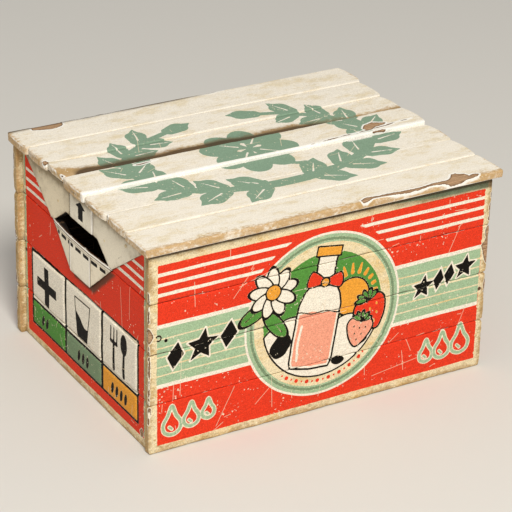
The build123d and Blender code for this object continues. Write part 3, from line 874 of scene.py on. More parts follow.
FRONT_CHIPS = (
    splinter([(-228, 206), (-227.4, 188), (-228, 170)], [0.3, 0.8, 0.9]),
    chip((-230, 164), (-225.5, 161), (-222.6, 154), (-223, 148), (-226, 143), (-230, 140)),
    splinter([(-227.8, 140), (-226.9, 118), (-227.2, 88), (-227.6, 40)], [0.5, 0.9, 0.6, 0.3]),
    splinter([(-226, 60), (-225.6, 50)], [1.2, 0.5]),
    chip((230, 236), (226.5, 232), (227.5, 222), (225.6, 214), (227, 206), (225, 198), (230, 194)),
    chip((230, 190), (225, 189), (222.5, 181), (223.5, 174), (218.4, 165), (219.6, 158), (222.6, 149),
         (226.4, 140), (230, 136)),
    splinter([(228.4, 124), (227.6, 110), (228.4, 88)], [1.0, 2.2, 0.8]),
    splinter([(228.6, 70), (228, 40)], [0.6, 1.0]),
)
FRONT_SCORES = scratches(5, (-212, 212, 14, 236), 30, [
    (-68, 60, -66.5, 22), (-88, 31, -72, 46), (186, 200, 172, 168), (196, 205, 184, 198),
    (118, 62, 124, 48), (115, 24, 112, 48), (72, 26, 132, 34), (-118, 60, -140, 16), (-186, 122, -188, 70),
    (-120, 176, -96, 206), (-60, 202, -112, 188), (-170, 178, -171, 206), (204, 96, 190, 60),
    (-126, 236, -126, 229), (60, 236, 60, 228), (168, 234, 168, 226), (-196, 88, -197, 64),
])
# Along the top, under the lid, this dirt is also painted shade.
FRONT_WEAR = {"chips": FRONT_CHIPS, "scores": FRONT_SCORES, "soot": front_soot,
              "grime": dirt_near(u=[(-229, 9), (226, 7)], v=[(0, 11), (254, 9)])}
print(len(FRONT_CHIPS), "chips on the front")

# %% Slot shade pine: near-black painted shade for the sawn edges of the note slot
sooty_pine, node = new_finish("sooty_pine")
fibres = node("Mapping", node("TexCoord", out="Object"), Scale=(700, 30, 700))
fibres = node("TexNoise", fibres, 1.0, 4.0)
soot = layered(node, card("#0e0a07"), [(fibres, "#2c2117")])
surfaced(node, fibres, 0.5, 0.3, Base_Color=soot, Roughness=0.9)
# The near-black edges are painted shade, for the dark inside behind the slot.
print("the slot's edges are sooty")

# %% Build the walls
def wall(prefix, along, step, pattern, wear):
    """Replace a wall's CAD planks with painted ones. along runs to the right, seen from outside."""
    total = 0
    for row in range(1, 5):
        cad_name = f"{prefix}_plank_{row}"
        low, high = corners(cad_name)
        axis = int(np.argmax(np.abs(along)))
        out = np.cross(along, (0, 0, 1))
        origin = np.where(out > 0, high, low) * np.abs(out)
        made = sawn_plank("painted_" + cad_name, (origin, along, (0, 0, 1), out),
                          sorted(sum(along) * c for c in (low[axis], high[axis])), (low[2], high[2]),
                          high[1 - axis] - low[1 - axis], step, pattern, wear)
        if prefix == "left_end" and row >= 3:
            cut_slot(made)
        put_in_place(made, [cad_name], "painted_pine", "box")
        total += len(made.data.polygons)
    print(prefix, "wall:", total, "faces")


# The note slot's opening in the CAD planks: half its width at the top, at the lip and at its
# hidden foot, each with its height.
SLOT = ((41, 215.5), (71, 194), (45, 178))


def cut_slot(made):
    """Saw the note slot through a plank."""
    opening = [*SLOT, *[(-u, v) for u, v in reversed(SLOT)]]
    count = len(opening)
    sides = [(k, (k + 1) % count, (k + 1) % count + count, k + count) for k in range(count)]
    mesh = new_mesh("slot_saw", [(x * MM, -u * MM, v * MM) for x in (-250, -200) for u, v in opening],
                    [tuple(range(count))[::-1], tuple(range(count, 2 * count)), *sides])
    mesh.polygons.foreach_set("material_index", [1] * len(mesh.polygons))
    # The sawn faces take the near-black pine, painted shade for the dark slot.
    for finish in (painted_pine, sooty_pine):
        mesh.materials.append(finish)
        made.data.materials.append(finish)
    saw = in_scene("slot_saw", mesh)
    cut = made.modifiers.new("slot", "BOOLEAN")
    cut.object, cut.operation, cut.solver = saw, "DIFFERENCE", "EXACT"
    made_plain(made)
    bpy.data.objects.remove(saw)
    print("sawed the slot through", made.name)


wall("front", (1, 0, 0), 1.25, front_pattern, FRONT_WEAR)

# %% Wear on the ends and the back
def under_pocket(u, v, w):
    """Painted shadow on the wall under the chute's pocket, most on the side away from the light."""
    low, high = corners("chute_pocket")
    gap = outline(u - 4, v + 6, [(high[1], high[2]), (25, low[2]), (-25, low[2]), (-high[1], high[2])])
    return 0.95 * ease((4 - gap) / 7)


# Here and on the back, the dirt along the top, under the lid, is also painted shade.
end_dirt = dirt_near(u=[(-162, 4), (162, 4)], v=[(0, 9), (254, 6)])
LEFT_WEAR = {
    "grime": end_dirt, "relief": cell_relief, "soot": under_pocket,
    "scores": scratches(9, (-150, 150, 14, 246), 34, [(100, 130, 96, 178), (84, 96, 92, 70),
                                                      (118, 150, 119, 190), (-60, 44, -52, 30)]),
    "chips": (splinter([(-162, 162), (-160.4, 152), (-162, 140)], [0.3, 0.9, 0.3]),
              splinter([(-161, 214), (-160, 196)], [1.2, 0.8]),
              chip((146, 11), (151, 13), (153, 19), (148, 23), (144, 18)),
              splinter([(161, 120), (160.4, 90), (161, 60)], [1.0, 1.6, 1.0]))}
RIGHT_WEAR = {
    "grime": end_dirt, "scores": scratches(13, (-150, 150, 14, 246), 30),
    "chips": (chip((-163, 96), (-156, 92), (-154, 80), (-158, 70), (-163, 66)),
              splinter([(161, 230), (158, 200), (161, 168)], [1.0, 2.2, 0.8]))}
BACK_WEAR = {
    "grime": dirt_near(u=[(-232, 6), (232, 6)], v=[(0, 10), (254, 8)]),
    "scores": scratches(17, (-215, 215, 14, 246), 30), "ear": 8.6, "corner": 1.7,
    "chips": (chip((234, 246), (229, 240), (228, 226), (234, 218)),
              chip((234, 140), (228, 134), (230, 126), (234, 122)),
              splinter([(233, 84), (232, 70), (233, 30)], [0.6, 1.8, 0.8]),
              splinter([(-231, 180), (-228, 150), (-231, 110)], [1.5, 3.0, 1.5]))}
wall("left_end", (0, -1, 0), 1.25, left_pattern, LEFT_WEAR)
wall("right_end", (0, 1, 0), 1.8, right_pattern, RIGHT_WEAR)
wall("back", (-1, 0, 0), 2.2, back_pattern, BACK_WEAR)

# %% [markdown]
# ## The lid's planks
# The lid is seven odd planks, some thicker than their neighbours. Feet, rain and the
# milkman's crate have worn it most along the arrises: a long chip follows the front edge,
# a proud plank is split near one end, and one plank has sprung up at the left.

# %% Lid
LID_CHIPS = {
    1: (chip((-207, 182), (-206, 171), (-198, 168), (-186, 165), (-176, 165.5), (-169, 169),
             (-165, 173), (-164, 182)),
        splinter([(-162, 179.6), (-110, 179.4), (-80, 180.2)], [1.4, 1.9, 0.8]),
        splinter([(12, 180.6), (40, 180.2), (60, 180.6)], [0.5, 1.8, 0.5])),
    2: (chip((-236, 84), (-231, 83), (-229.5, 78), (-236, 76)),),
    3: (splinter([(-150, 31), (-118, 30.4), (-60, 30.2), (-20, 30)], [0.6, 2.2, 1.6, 0.8]),
        chip((-237, 36), (-233, 37), (-231, 32), (-237, 29))),
    4: (splinter([(-146, 22), (-138, 21), (-126, 22.6), (-114, 24)], [0.3, 1.0, 0.9, 0.2]),
        chip((150, -7), (158, 1.5), (170, 4), (178, 0), (186, -3), (180, -8), (168, -9), (160, -13),
             (152, -13)),
        splinter([(222, -6), (196, -8), (180, -11), (146, -14.4), (112, -16), (70, -19.5)],
                 [0.4, 0.7, 0.6, 0.8, 0.6, 0.3]),
        chip((150, -22.6), (160, -19.4), (172, -20), (176, -22.8)),
        chip((66, -23), (80, -20.8), (92, -22.8))),
    5: (splinter([(120, -23.4), (150, -24)], [0.7, 0.4]),),
    6: (chip((-237, -84), (-233, -83), (-232, -78.6), (-237, -77)),),
    7: (chip((41, -176), (49, -171.5), (56, -172), (66, -174.3), (82, -174.7), (100, -175.6), (121, -176.2),
             (138, -173.3), (152, -173.6), (161, -174.3), (167.5, -170), (172.5, -162.8), (179, -162.7),
             (182.5, -166.8), (188, -168), (190.7, -174.5), (198, -172.5), (204.3, -175.7), (199, -181),
             (191, -181.2), (186, -181), (177, -182.5), (168, -183.2), (161, -183.2), (156, -181.2),
             (147, -179.6), (133, -179.6), (117, -181), (98, -181), (81, -179.6), (63, -177.7),
             (54.6, -177.6), (47, -181), (41, -180.6)),),
}
LID_SCORES = scratches(21, (-226, 226, -172, 172), 44, [(-140, -2, -108, 14), (-120, 60, -104, 96),
                                                        (96, -60, 118, -40), (-176, 30, -160, 44)])
SHADOW_EDGE_V = 41.5                   # past here along v the third plank's painted shadow and golden shade thin out


def sprung(u):
    """The third plank has sprung up at the left."""
    return 3.6 * np.clip((-u - 172) / 64, 0, 1) ** 1.6


def lid_dirt(u, v, w):
    """Yellow dirt at the lid's ends and, in drifts, along its front arris."""
    drift = (1.1 + 0.25 * wander(u, 0 * u, 38, 9, 93)) * (0.75 + 0.25 * np.exp(-w / 1.6))
    ends = np.where(u < 0, 1.0, 0.7) * np.exp(-(236 - np.abs(u)) / 5)
    return np.maximum(ends, drift * np.exp(-(v + 180) / 7))


def under_proud_plank(u, v, w):
    """Painted shadow on the third plank, cast by its thicker neighbour."""
    along_it = ease((u + 222) / 30) * (1 - 0.85 * ease((u - 40) / 110)) * np.exp(-w / 3)
    return (1.0 + 0.3 * wander(u, v, 40, 9, 91)) * np.exp(-(v - SHADOW_EDGE_V) / 7.0) * along_it


def golden_past_soot(u, v, w):
    """Yellow-brown painted shade past the painted shadow on the same plank, with the lid's dirt."""
    golden = 1.5 * np.exp(-(v - SHADOW_EDGE_V) / 8.0 - w / 3) * (1 - 0.6 * ease((u - 60) / 110))
    return np.maximum(lid_dirt(u, v, w), golden)


def sooty_back_arris(u, v, w):
    return 2.4 * np.exp(-(181 - v) / 3.0 - w / 1.5) * (1 - ease((u + 20) / 90))


LID_WEAR = {"scores": LID_SCORES, "grime": lid_dirt, "corner": 1.5, "end_shape": ((1.0, 0.7), (1.8, 3.6)),
            "wrap_pull": 4.0, "end_kept": 1.5, "seam_soot": 0.15}
ODD_WEAR = {1: {"soot": sooty_back_arris, "end_shape": ((0.4, 0), (1.8, 3.0))},
            3: {"lift": sprung, "soot": under_proud_plank, "grime": golden_past_soot},
            7: {"corner": 0.4, "end_shape": ((0, 0), (0, 2.0))}}
# The pale rim left along each lid plank's arrises is partly a painted highlight.
EDGE_KEPT = (4.4, 4.2, 3.6, 2.9, 3.5, 3.5, 2.9)     # how far the paint holds out, plank by plank
lid_faces = 0
for row in range(1, 8):
    cad_name = f"lid_plank_{row}"
    low, high = corners(cad_name)
    thick = high[2] - low[2]
    wear = {**LID_WEAR, "chips": LID_CHIPS[row], "knock": 0.45 if row < 4 else 0.8,
            "paint_wraps": thick - 0.35, "edge_kept": EDGE_KEPT[row - 1], **ODD_WEAR.get(row, {})}
    made = sawn_plank("whitewashed_" + cad_name, ((0, 0, high[2]), (1, 0, 0), (0, 1, 0), (0, 0, 1)),
                      (low[0], high[0]), (low[1], high[1]), thick, 1.4, lid_pattern, wear)
    put_in_place(made, [cad_name], "whitewashed_pine", "lid")
    lid_faces += len(made.data.polygons)
print("lid:", lid_faces, "faces")

# %% [markdown]
# ## The note chute
# The chute on the left end is folded from enamelled sheet: a hood over the slot and a
# pocket under it. A folded sheet is a height over the wall, so each piece is made as one:
# an outline is filled with even triangles, its outer side is raised by a height that
# follows the folds, and a second copy closes it behind. The enamel is hard and cream-white,
# but weather has taken its shine, and folds and edges are scuffed to brown iron. Painted
# highlights run along the folds' crests with thin painted shade lines beside them, and
# painted shade darkens the wings, the creases and the top under the lid.

# %% Folded sheet
def folded_sheet(name, outline_mm, top, under, spacing, marks):
    """A closed sheet on the left end wall, from its outline and two heights off the wall."""
    edge = []
    for (au, av), (bu, bv) in zip(outline_mm, outline_mm[1:] + outline_mm[:1]):
        steps = max(1, round(math.hypot(bu - au, bv - av) / spacing))
        edge += [(au + (bu - au) * k / steps, av + (bv - av) * k / steps) for k in range(steps)]
    lo, hi = np.min(edge, 0), np.max(edge, 0)
    gu, gv = np.meshgrid(np.arange(lo[0], hi[0], spacing), np.arange(lo[1], hi[1], spacing * 0.87))
    gu = gu + (np.arange(gu.shape[0]) % 2)[:, None] * spacing / 2
    inside = outline(gu, gv, outline_mm) < -0.55 * spacing
    points = edge + list(zip(gu[inside], gv[inside]))
    n = len(edge)
    rim = [(k, (k + 1) % n) for k in range(n)]
    filled = delaunay_2d_cdt([Vector(p) for p in points], rim, [], 1, 1e-5)
    u, v = np.array([tuple(p) for p in filled[0]]).T
    outer, inner = top(u, v), under(u, v)
    wall_x = corners("left_end_plank_1")[0][0]
    world = np.concatenate([np.stack([wall_x - h, -u, v], -1) for h in (outer, inner)])
    count = len(u)
    shell = [tuple(f) for f in filled[2]] + [tuple(k + count for k in f[::-1]) for f in filled[2]]
    shell += [(k, after, after + count, k + count) for k, after in rim]
    mesh = new_mesh(name, world * MM, shell)
    mesh.shade_smooth()
    mesh.set_sharp_from_angle(angle=math.radians(32))
    store(mesh, board=np.concatenate([np.stack([u, v, h], -1) for h in (outer, inner)]),
          **{key: np.concatenate([value, value]) for key, value in marks(u, v).items()})
    print(name, "has", len(shell), "faces")
    return in_scene(name, mesh)


HOOD_LOW, HOOD_HIGH = corners("chute_hood")
POCKET_LOW, POCKET_HIGH = corners("chute_pocket")
LIP = POCKET_HIGH[2]                # where the hood ends and the pocket's rolled lip is
LIP_HALF = POCKET_HIGH[1]
FRONT_HALF = 25                     # half the width of the pocket's flat front
PANEL_HALF = 28.4                   # half the width of the hood's raised panel
HOOD = [(HOOD_HIGH[1], HOOD_HIGH[2]), (LIP_HALF, LIP), (SLOT[1][0], LIP), SLOT[0]]
POCKET = [(LIP_HALF, LIP), (FRONT_HALF, POCKET_LOW[2])]
HOOD, POCKET = (half + [(-u, v) for u, v in reversed(half)] for half in (HOOD, POCKET))
print("hood", np.round(HOOD_HIGH - HOOD_LOW, 1), "pocket", np.round(POCKET_HIGH - POCKET_LOW, 1), "mm")

# %% Chute shapes and marks
def hood_top(u, v):
    panel = ease((PANEL_HALF + 0.2 - np.abs(u)) / 1.2)
    to_tip = np.clip(1 - np.hypot(np.abs(u) - LIP_HALF, v - LIP) / 60, 0, 1)
    bow = 1.4 * to_tip + 0.25 * wander(u, v, 30, 26, 51)
    edge = np.clip(-outline(u, v, HOOD), 0, 1.2)
    return 1.0 + 1.25 * panel + bow * (1 - panel) - 0.5 * (1 - edge / 1.2) ** 2


def hood_under(u, v):
    return np.full(u.shape, 0.02)


def pocket_top(u, v):
    slope = np.clip((LIP_HALF - np.abs(u)) / (LIP_HALF - FRONT_HALF), 0, 1)
    roll = 1.0 * ease((v - (LIP - 6.4)) / 1.4)
    edge = np.clip(-outline(u, v, POCKET), 0, 1.0)
    return 0.35 + 3.45 * slope + roll * np.clip(slope * 4, 0, 1) - 0.3 * (1 - edge) ** 2


def pocket_under(u, v):
    closed = (-outline(u, v, POCKET) < 1.3) & (LIP - v >= 1.3)
    return np.where(closed, 0.02, np.maximum(pocket_top(u, v) - 1.2, 0.02))


def hood_marks(u, v):
    marks, grain, edge, across = Coats(u, v), ragged(u, v, 61), -outline(u, v, HOOD), np.abs(u)
    arrow = [(0, 245), (14, 237), (6, 237), (6, 222), (-6, 222), (-6, 237), (-14, 237)]
    marks.lay("black", outline(marks.u, marks.v, arrow))
    cracks = np.minimum(splinter([(-128, 238), (-112, 226), (-104, 212)], [0.2, 0.8, 0.3])(u, v),
                        splinter([(112, 236), (104, 222), (90, 212)], [0.2, 0.7, 0.3])(u, v))
    # Painted shade beside the raised panel, most on the left.
    shade_by_panel = np.where(u < 0, 0.9, 0.3) * np.exp(-np.abs(across - 30) / 5) * (across > 28)
    return {"coat_black": marks.depth["black"], "fold": across - PANEL_HALF + 0.4 * grain,
            # painted shade: the wings are darker than the panel, the left one most
            "wing": ease((across - PANEL_HALF) / 0.8) * np.where(u < 0, 1.0, 0.3),
            "bare": np.minimum(edge - 0.35 - 0.5 * grain, cracks + grain),
            # dirt at the edges; painted shade under the lid and over the left wing
            "grime": (0.5 * np.exp(-edge / 5) + 0.35 * ease((-u - 60) / 80)
                      + 1.6 * np.exp(-(HOOD_HIGH[2] - v) / 6) + shade_by_panel)}


def pocket_marks(u, v):
    marks, grain, edge, across = Coats(u, v), ragged(u, v, 63), -outline(u, v, POCKET), np.abs(u)
    dashes = np.maximum(np.abs(v - (LIP - 11.5)) - 2.3, np.abs((u + 64 - 10) % 20 - 10) - 7.2)
    marks.lay("black", np.maximum(dashes, across - 62))
    below_lip = LIP - 6.6 - v
    return {"coat_black": marks.depth["black"],
            "fold": np.where(below_lip < 0, LIP - v - 1.4, across - 25.4 + 0.4 * grain),
            # painted shade: the pocket's side facets are darker than its front
            "wing": 0.5 * ease((across - 25.4) / 0.8) * (below_lip > 0),
            "bare": np.minimum(edge - 0.35 - 0.5 * grain, np.abs(below_lip) - 0.25 + 0.8 * grain),
            # dirt at the edges; painted shade at the folds and under the rolled lip
            "grime": (0.45 * np.exp(-edge / 5) + 0.3 * np.exp(-np.abs(across - 27) / 5)
                      + 0.5 * np.exp(-np.maximum(below_lip, 0) / 3) * (below_lip > 0))}

# %% Enamelled sheet
def enamelled_sheet(name):
    """Cream-white enamel fired on thin iron, dulled by weather."""
    _, node = new_finish(name)
    stored = {key: node("Attribute " + key, out="Fac")
              for key in ("bare", "grime", "fold", "wing", "coat_black")}
    board = node("Attribute board", out="Vector")
    tooth = node("TexNoise", board, 1 / 1.6, 3.0)
    blotch = node("TexNoise", board, 1 / 12, 5.0, 0.6)
    # Dirt and painted shade, as the pieces store them, darken the enamel.
    dirt_and_shade = node("Math ADD", node("Math MULTIPLY_ADD", blotch, 1.4, -0.58), stored["grime"])
    dirt_and_shade = node("MapRange SMOOTHSTEP", dirt_and_shade, 0.2, 1.3, 0.0, 0.72)
    woolly = node("Math MULTIPLY_ADD", tooth, 1.0, -0.5)
    rust = layered(node, card("#2e2119"), [(tooth, "#6d4a30")])
    # Painted highlight on the folds' crests and the pocket's lip, with a thin brown painted shade line
    # beside each.
    black, chipped = (node("Math ADD", woolly, stored[key]) for key in ("coat_black", "bare"))
    fold_highlight, fold_shade_line = (node("Math ABSOLUTE", node("Math SUBTRACT", stored["fold"], at)) for at in (0.0, 1.7))
    # Painted shade: the wings darker than the raised panel and the pocket's front.
    layers = [(stored["wing"], "#eee0c4"), (dirt_and_shade, "#7f6b4b")]
    for measured, none, full, most, paint in (
        (black, 0.15, -0.15, 1.0, "#14110e"), (fold_highlight, 2.0, 1.0, 0.9, "#fffaf0"),
        (fold_shade_line, 0.85, 0.45, 0.85, "#5a3f2a"), (chipped, 0.2, -0.2, 1.0, rust),
    ):
        layers.append((node("MapRange", measured, none, full, 0.0, most), paint))
    gone = layers[-1][0]
    colour = layered(node, card("#f8f0dd"), layers)
    colour = node("VectorMath SCALE", colour, node("MapRange", tooth, 0.3, 0.7, 0.92, 1.05))
    surfaced(node, node("Math MULTIPLY_ADD", gone, -1.5, tooth), 0.3, 0.2, Base_Color=colour,
             Roughness=node("MapRange", dirt_and_shade, 0.0, 1.0, 0.55, 0.75), Specular_IOR_Level=0.08)


enamelled_sheet("chute_enamel")
for piece, cad_name, parts in (
    ("enamelled_hood", "chute_hood", (HOOD, hood_top, hood_under, 1.9, hood_marks)),
    ("enamelled_pocket", "chute_pocket", (POCKET, pocket_top, pocket_under, 1.2, pocket_marks)),
):
    put_in_place(folded_sheet(piece, *parts), [cad_name], "chute_enamel", "box")

# %% [markdown]
# ## Bare pine inside
# Inside, the wood was never painted: posts, floor and bearers are plain sawn pine, gone
# grey-gold with milk and dust. These CAD pieces have the right shape already, so they only
# need a finish. Grain runs along each piece, so there is one material for each direction.

# %% Bare pine
def bare_wood(name, light, dark, along):
    """Unpainted pine with its grain along "X", "Y", "Z" or a stored "board" coordinate."""
    finish, node = new_finish(name)
    if along == "board":
        place, slip = (node("Attribute " + key, out="Vector") for key in ("board", "slip"))
        place = node("VectorMath ADD", place, slip)
    else:
        place = node("Mapping", node("TexCoord", out="Object"), Scale=(1000, 1000, 1000))
    grain_axis = "X" if along == "board" else along
    fine, bands = (
        node("TexNoise", node("Mapping", place, Scale=tuple(
            1 / (long if axis == grain_axis else across) for axis in "XYZ")), Scale=1.0, **noise)
        for long, across, noise in ((45, 1.6, {"Detail": 4.0, "Roughness": 0.6}),
                                    (160, 9, {"Detail": 2.0, "Distortion": 1.2})))
    rings = node("Math SINE", node("Math MULTIPLY", bands, 26.0))
    rings = node("Math MULTIPLY_ADD", rings, 0.16, fine)
    dust = node("MapRange", node("TexNoise", place, 1 / 40, 3.0), 0.4, 0.75, 0.0, 0.5)
    pale = node("MapRange", rings, 0.25, 0.75)
    surfaced(node, rings, 0.5, 0.3, Roughness=node("MapRange", fine, 0.0, 1.0, 0.88, 0.68),
             Base_Color=layered(node, card(dark), [(pale, light), (dust, "#8d7b62")]))
    return finish


def refinish(cad_name, finish):
    """A CAD piece keeps its shape and gets a finish."""
    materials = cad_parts[cad_name].data.materials
    materials.clear()
    materials.append(finish)


pine = {axis: bare_wood("bare_pine_along_" + axis.lower(), "#d3b588", "#a07b52", axis) for axis in "XYZ"}
bare_wood("divider_slat_wood", "#cdb48c", "#97764f", "board")
GRAIN = {"floor_plank": "X", "floor_bearer": "Y", "corner_post": "Z", "lid_batten": "Y"}
bare = {name: GRAIN[kind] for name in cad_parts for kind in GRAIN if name.startswith(kind)}
for cad_name, axis in bare.items():
    refinish(cad_name, pine[axis])
print(len(bare), "pieces of bare pine")

# %% [markdown]
# ## Old steel
# The hinges are stamped steel that has lost its shine: a metal, so all its colour is in
# its reflection, about half rough, with brown rust, which isn't metallic, in blotches a
# few millimetres across. The nails are iron and mostly rust.

# %% Steel and iron
def old_metal(name, bright, rust, how_much, rough, metallic=1.0):
    """Metal under patchy rust, of which how_much is the share. Painted over, it isn't metallic."""
    finish, node = new_finish(name)
    place = node("TexCoord", out="Object")
    patch = node("TexNoise", place, 1 / (6 * MM), 5.0, 0.7)
    grit = node("TexNoise", place, 1 / (0.8 * MM), 2.0)
    rusty = node("MapRange", patch, 0.62 - 0.36 * how_much, 0.8 - 0.36 * how_much)
    tone = layered(node, card(rust[0]), [(grit, rust[1])])
    metal, gloss = (node("MapRange", rusty, 0.0, 1.0, clean, eaten)
                    for clean, eaten in ((metallic, 0.0), (rough, 0.85)))
    surfaced(node, node("Math MULTIPLY_ADD", rusty, 0.6, grit), 0.4, 0.15, Metallic=metal,
             Roughness=node("Math MULTIPLY_ADD", grit, 0.12, gloss),
             Base_Color=layered(node, card(bright), [(rusty, tone)]))
    return finish


hinge_steel = old_metal("hinge_steel", "#a8a297", ("#5c3a26", "#8f5d39"), 0.6, 0.42)
screw_steel = old_metal("screw_steel", "#8b867d", ("#4b2e1d", "#7d4f30"), 0.3, 0.38)
nail_iron = old_metal("nail_iron", "#5d5650", ("#3a2519", "#6e452a"), 0.75, 0.5)
nail_painted = old_metal("nail_painted_over", "#ecdcb4", ("#a8814f", "#d9bd86"), 0.5, 0.55, 0.0)
for cad_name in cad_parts:
    if cad_name.startswith("hinge_") and "screws" not in cad_name:
        refinish(cad_name, hinge_steel)
print("hinges are steel; nails are iron")

# %% [markdown]
# ## Nails and screws with Geometry Nodes
# Every nail is the same nail, driven a little askew. That is work for Geometry Nodes: one
# tree makes a nail, puts one on each point of a bare point mesh, turns its shank along the
# stored direction, tilts and turns it by chance, and realises the copies. The same tree
# serves wall nails, floor nails, lid nails and the chute's small tacks.

# %% Nail tree
def new_tree(name, entries):
    """A Geometry Nodes tree with named inputs, each given by its kind or its value. It comes with
    what adds nodes to it, and with the inputs' sockets."""
    tree = bpy.data.node_groups.new(name, "GeometryNodeTree")
    tree.interface.new_socket("Geometry", in_out="OUTPUT", socket_type="NodeSocketGeometry")
    for key, value in entries.items():
        kind = value if isinstance(value, str) else type(value).__name__.capitalize()
        socket = tree.interface.new_socket(key, in_out="INPUT", socket_type="NodeSocket" + kind)
        if kind != value:
            socket.default_value = value
    node = partial(add, tree)
    return tree, node, node("GroupInput").node.outputs


def finish_tree(node, geometry, finish, rusty_finish=None):
    """Realise what was instanced, give it its material and end the tree."""
    real = node("SetMaterial", node("RealizeInstances", geometry), Material=finish)
    if rusty_finish:
        real = node("SetMaterial", real, node("InputNamedAttribute BOOLEAN", "rusty"), rusty_finish)
    node("GroupOutput", real)


def cones(node, rows):
    """Cone pieces along Z, as (corners, top radius, foot radius, depth, height of the foot)."""
    return [node("Transform", node("MeshCone", sides, Radius_Top=top, Radius_Bottom=foot, Depth=depth),
                 (0.0, 0.0, height)) for sides, top, foot, depth, height in rows]


def fasteners(node, points, parts, turn, **more):
    """The parts as one fastener, a copy on each point, along the stored direction and turned there."""
    facing = node("AlignRotationToVector Z", Vector=node("InputNamedAttribute FLOAT_VECTOR", "out"))
    askew = node("RotateRotation LOCAL", facing, node("EulerToRotation", turn))
    return node("InstanceOnPoints", points, Instance=node("JoinGeometry", parts), Rotation=askew, **more)


nail_tree, node, given = new_tree("driven_nails", {
    "Points": "Geometry", "Head radius": 0.0024, "Head height": 0.0006, "Shank radius": 0.0011,
    "Shank length": 0.03, "Tilt": 0.05, "Seed": 1, "Finish": "Material", "Rusty finish": "Material"})
rim_height = node("Math MULTIPLY", given["Head height"], 0.55)
crown_height = node("Math SUBTRACT", given["Head height"], rim_height)
crown_radius = node("Math MULTIPLY", given["Head radius"], 0.72)
shank_foot, back = (node("Math MULTIPLY", given[key], -1.0) for key in ("Shank length", "Tilt"))
parts = cones(node, ((14, given["Head radius"], given["Head radius"], rim_height, 0.0),
                     (14, crown_radius, given["Head radius"], crown_height, rim_height),
                     (10, given["Shank radius"], 0.0001, given["Shank length"], shank_foot)))
turn = node("RandomValue FLOAT_VECTOR", (back, back, 0.0), (given["Tilt"], given["Tilt"], 6.28),
            Seed=given["Seed"])
size = node("RandomValue FLOAT", 0.9, 1.08, Seed=given["Seed"])
nails = fasteners(node, given["Points"], parts, turn, Scale=size)
finish_tree(node, nails, given["Finish"], given["Rusty finish"])
print("nail tree:", len(nail_tree.nodes), "nodes")

# %% Find where each fastener was driven
def driven(cad_name):
    """Each fastener of a CAD node, as (seat under its head, top of its head, outward direction)."""
    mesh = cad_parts[cad_name].data
    points = np.array([vertex.co for vertex in mesh.vertices], float)
    points, group = np.unique(np.round(points, 6), axis=0, return_inverse=True)
    faces = np.array([group.ravel()[list(f.vertices)[:3]] for f in mesh.polygons])
    # Points that share a face take the lowest label among them, until nothing changes.
    label, before = np.arange(len(points)), None
    while not np.array_equal(label, before):
        before = label.copy()
        np.minimum.at(label, faces.ravel(), np.repeat(before[faces].min(1), 3))
    found = []
    for one in np.unique(label):
        p = points[label == one]
        axis = int(np.argmax(np.ptp(p, axis=0)))
        middle = (p.min(0) + p.max(0)) / 2
        reach = np.linalg.norm(np.delete(p - middle, axis, 1), axis=1)
        head = p[reach > reach.max() - 1e-4][:, axis]
        sign = 1 if head.mean() > middle[axis] else -1
        seat, top, out = middle.copy(), middle.copy(), np.zeros(3)
        seat[axis], top[axis] = sign * (sign * head).min(), sign * (sign * p[:, axis]).max()
        out[axis] = sign
        found.append((seat, top, out))
    return found


def run_tree(piece, mesh, tree, settings):
    """Set a tree's inputs by identifier and keep what it makes as a plain mesh."""
    made = in_scene(piece, mesh)
    nodes = made.modifiers.new("tree", "NODES")
    nodes.node_group = tree
    sockets = {s.name: s.identifier for s in tree.interface.items_tree if s.in_out == "INPUT"}
    for name, value in settings.items():
        nodes[sockets[name]] = value
    made_plain(made)
    return made


def fasten(piece, cad_name, tree, settings, slot_name, body, at_top=False):
    """Run a fastener tree on a CAD node's fasteners and put the result in the node's place."""
    places = driven(cad_name)
    mesh = new_mesh(piece + "_points", [place[1 if at_top else 0] for place in places])
    store(mesh, out=np.array([place[2] for place in places]))
    rusty = mesh.attributes.new("rusty", "BOOLEAN", "POINT")
    rusty.data.foreach_set("value", [any(math.dist(place[0] / MM, spot) < 14 for spot in RUSTY)
                                     for place in places])
    made = run_tree(piece, mesh, tree, settings)
    put_in_place(made, [cad_name], slot_name, body)
    print(piece, "-", len(places), "placed,", len(made.data.polygons), "faces")


RUSTY = ((222, -171, 101), (-224, -154, 24), (-224, 154, 120))    # wall nails that lost their paint
for cad_name, size, body, tilt, seed, finish in (
    ("wall_nails", (2.4, 0.6, 1.1, 24), "box", 0.06, 4, nail_painted),
    ("floor_nails", (2.4, 0.6, 1.1, 18), "box", 0.05, 5, nail_iron),
    ("lid_nails", (2.4, 0.6, 1.1, 17), "lid", 0.05, 6, nail_iron),
    ("chute_tacks", (1.9, 0.9, 0.7, 8), "box", 0.08, 7, nail_painted),
):
    settings = dict(zip(("Head radius", "Head height", "Shank radius", "Shank length"),
                        (s * MM for s in size)), Tilt=tilt, Seed=seed, Finish=finish)
    fasten(cad_name + "_driven", cad_name, nail_tree, {**settings, "Rusty finish": nail_iron},
           "nail_iron", body)

# %% [markdown]
# ## Slotted screws
# A hinge screw has a flat countersunk head with one sawn slot. The tree makes the head
# from a cone, cuts the slot with a Boolean, adds the shank, and leaves each slot pointing
# its own way, as screws do when they come up tight.

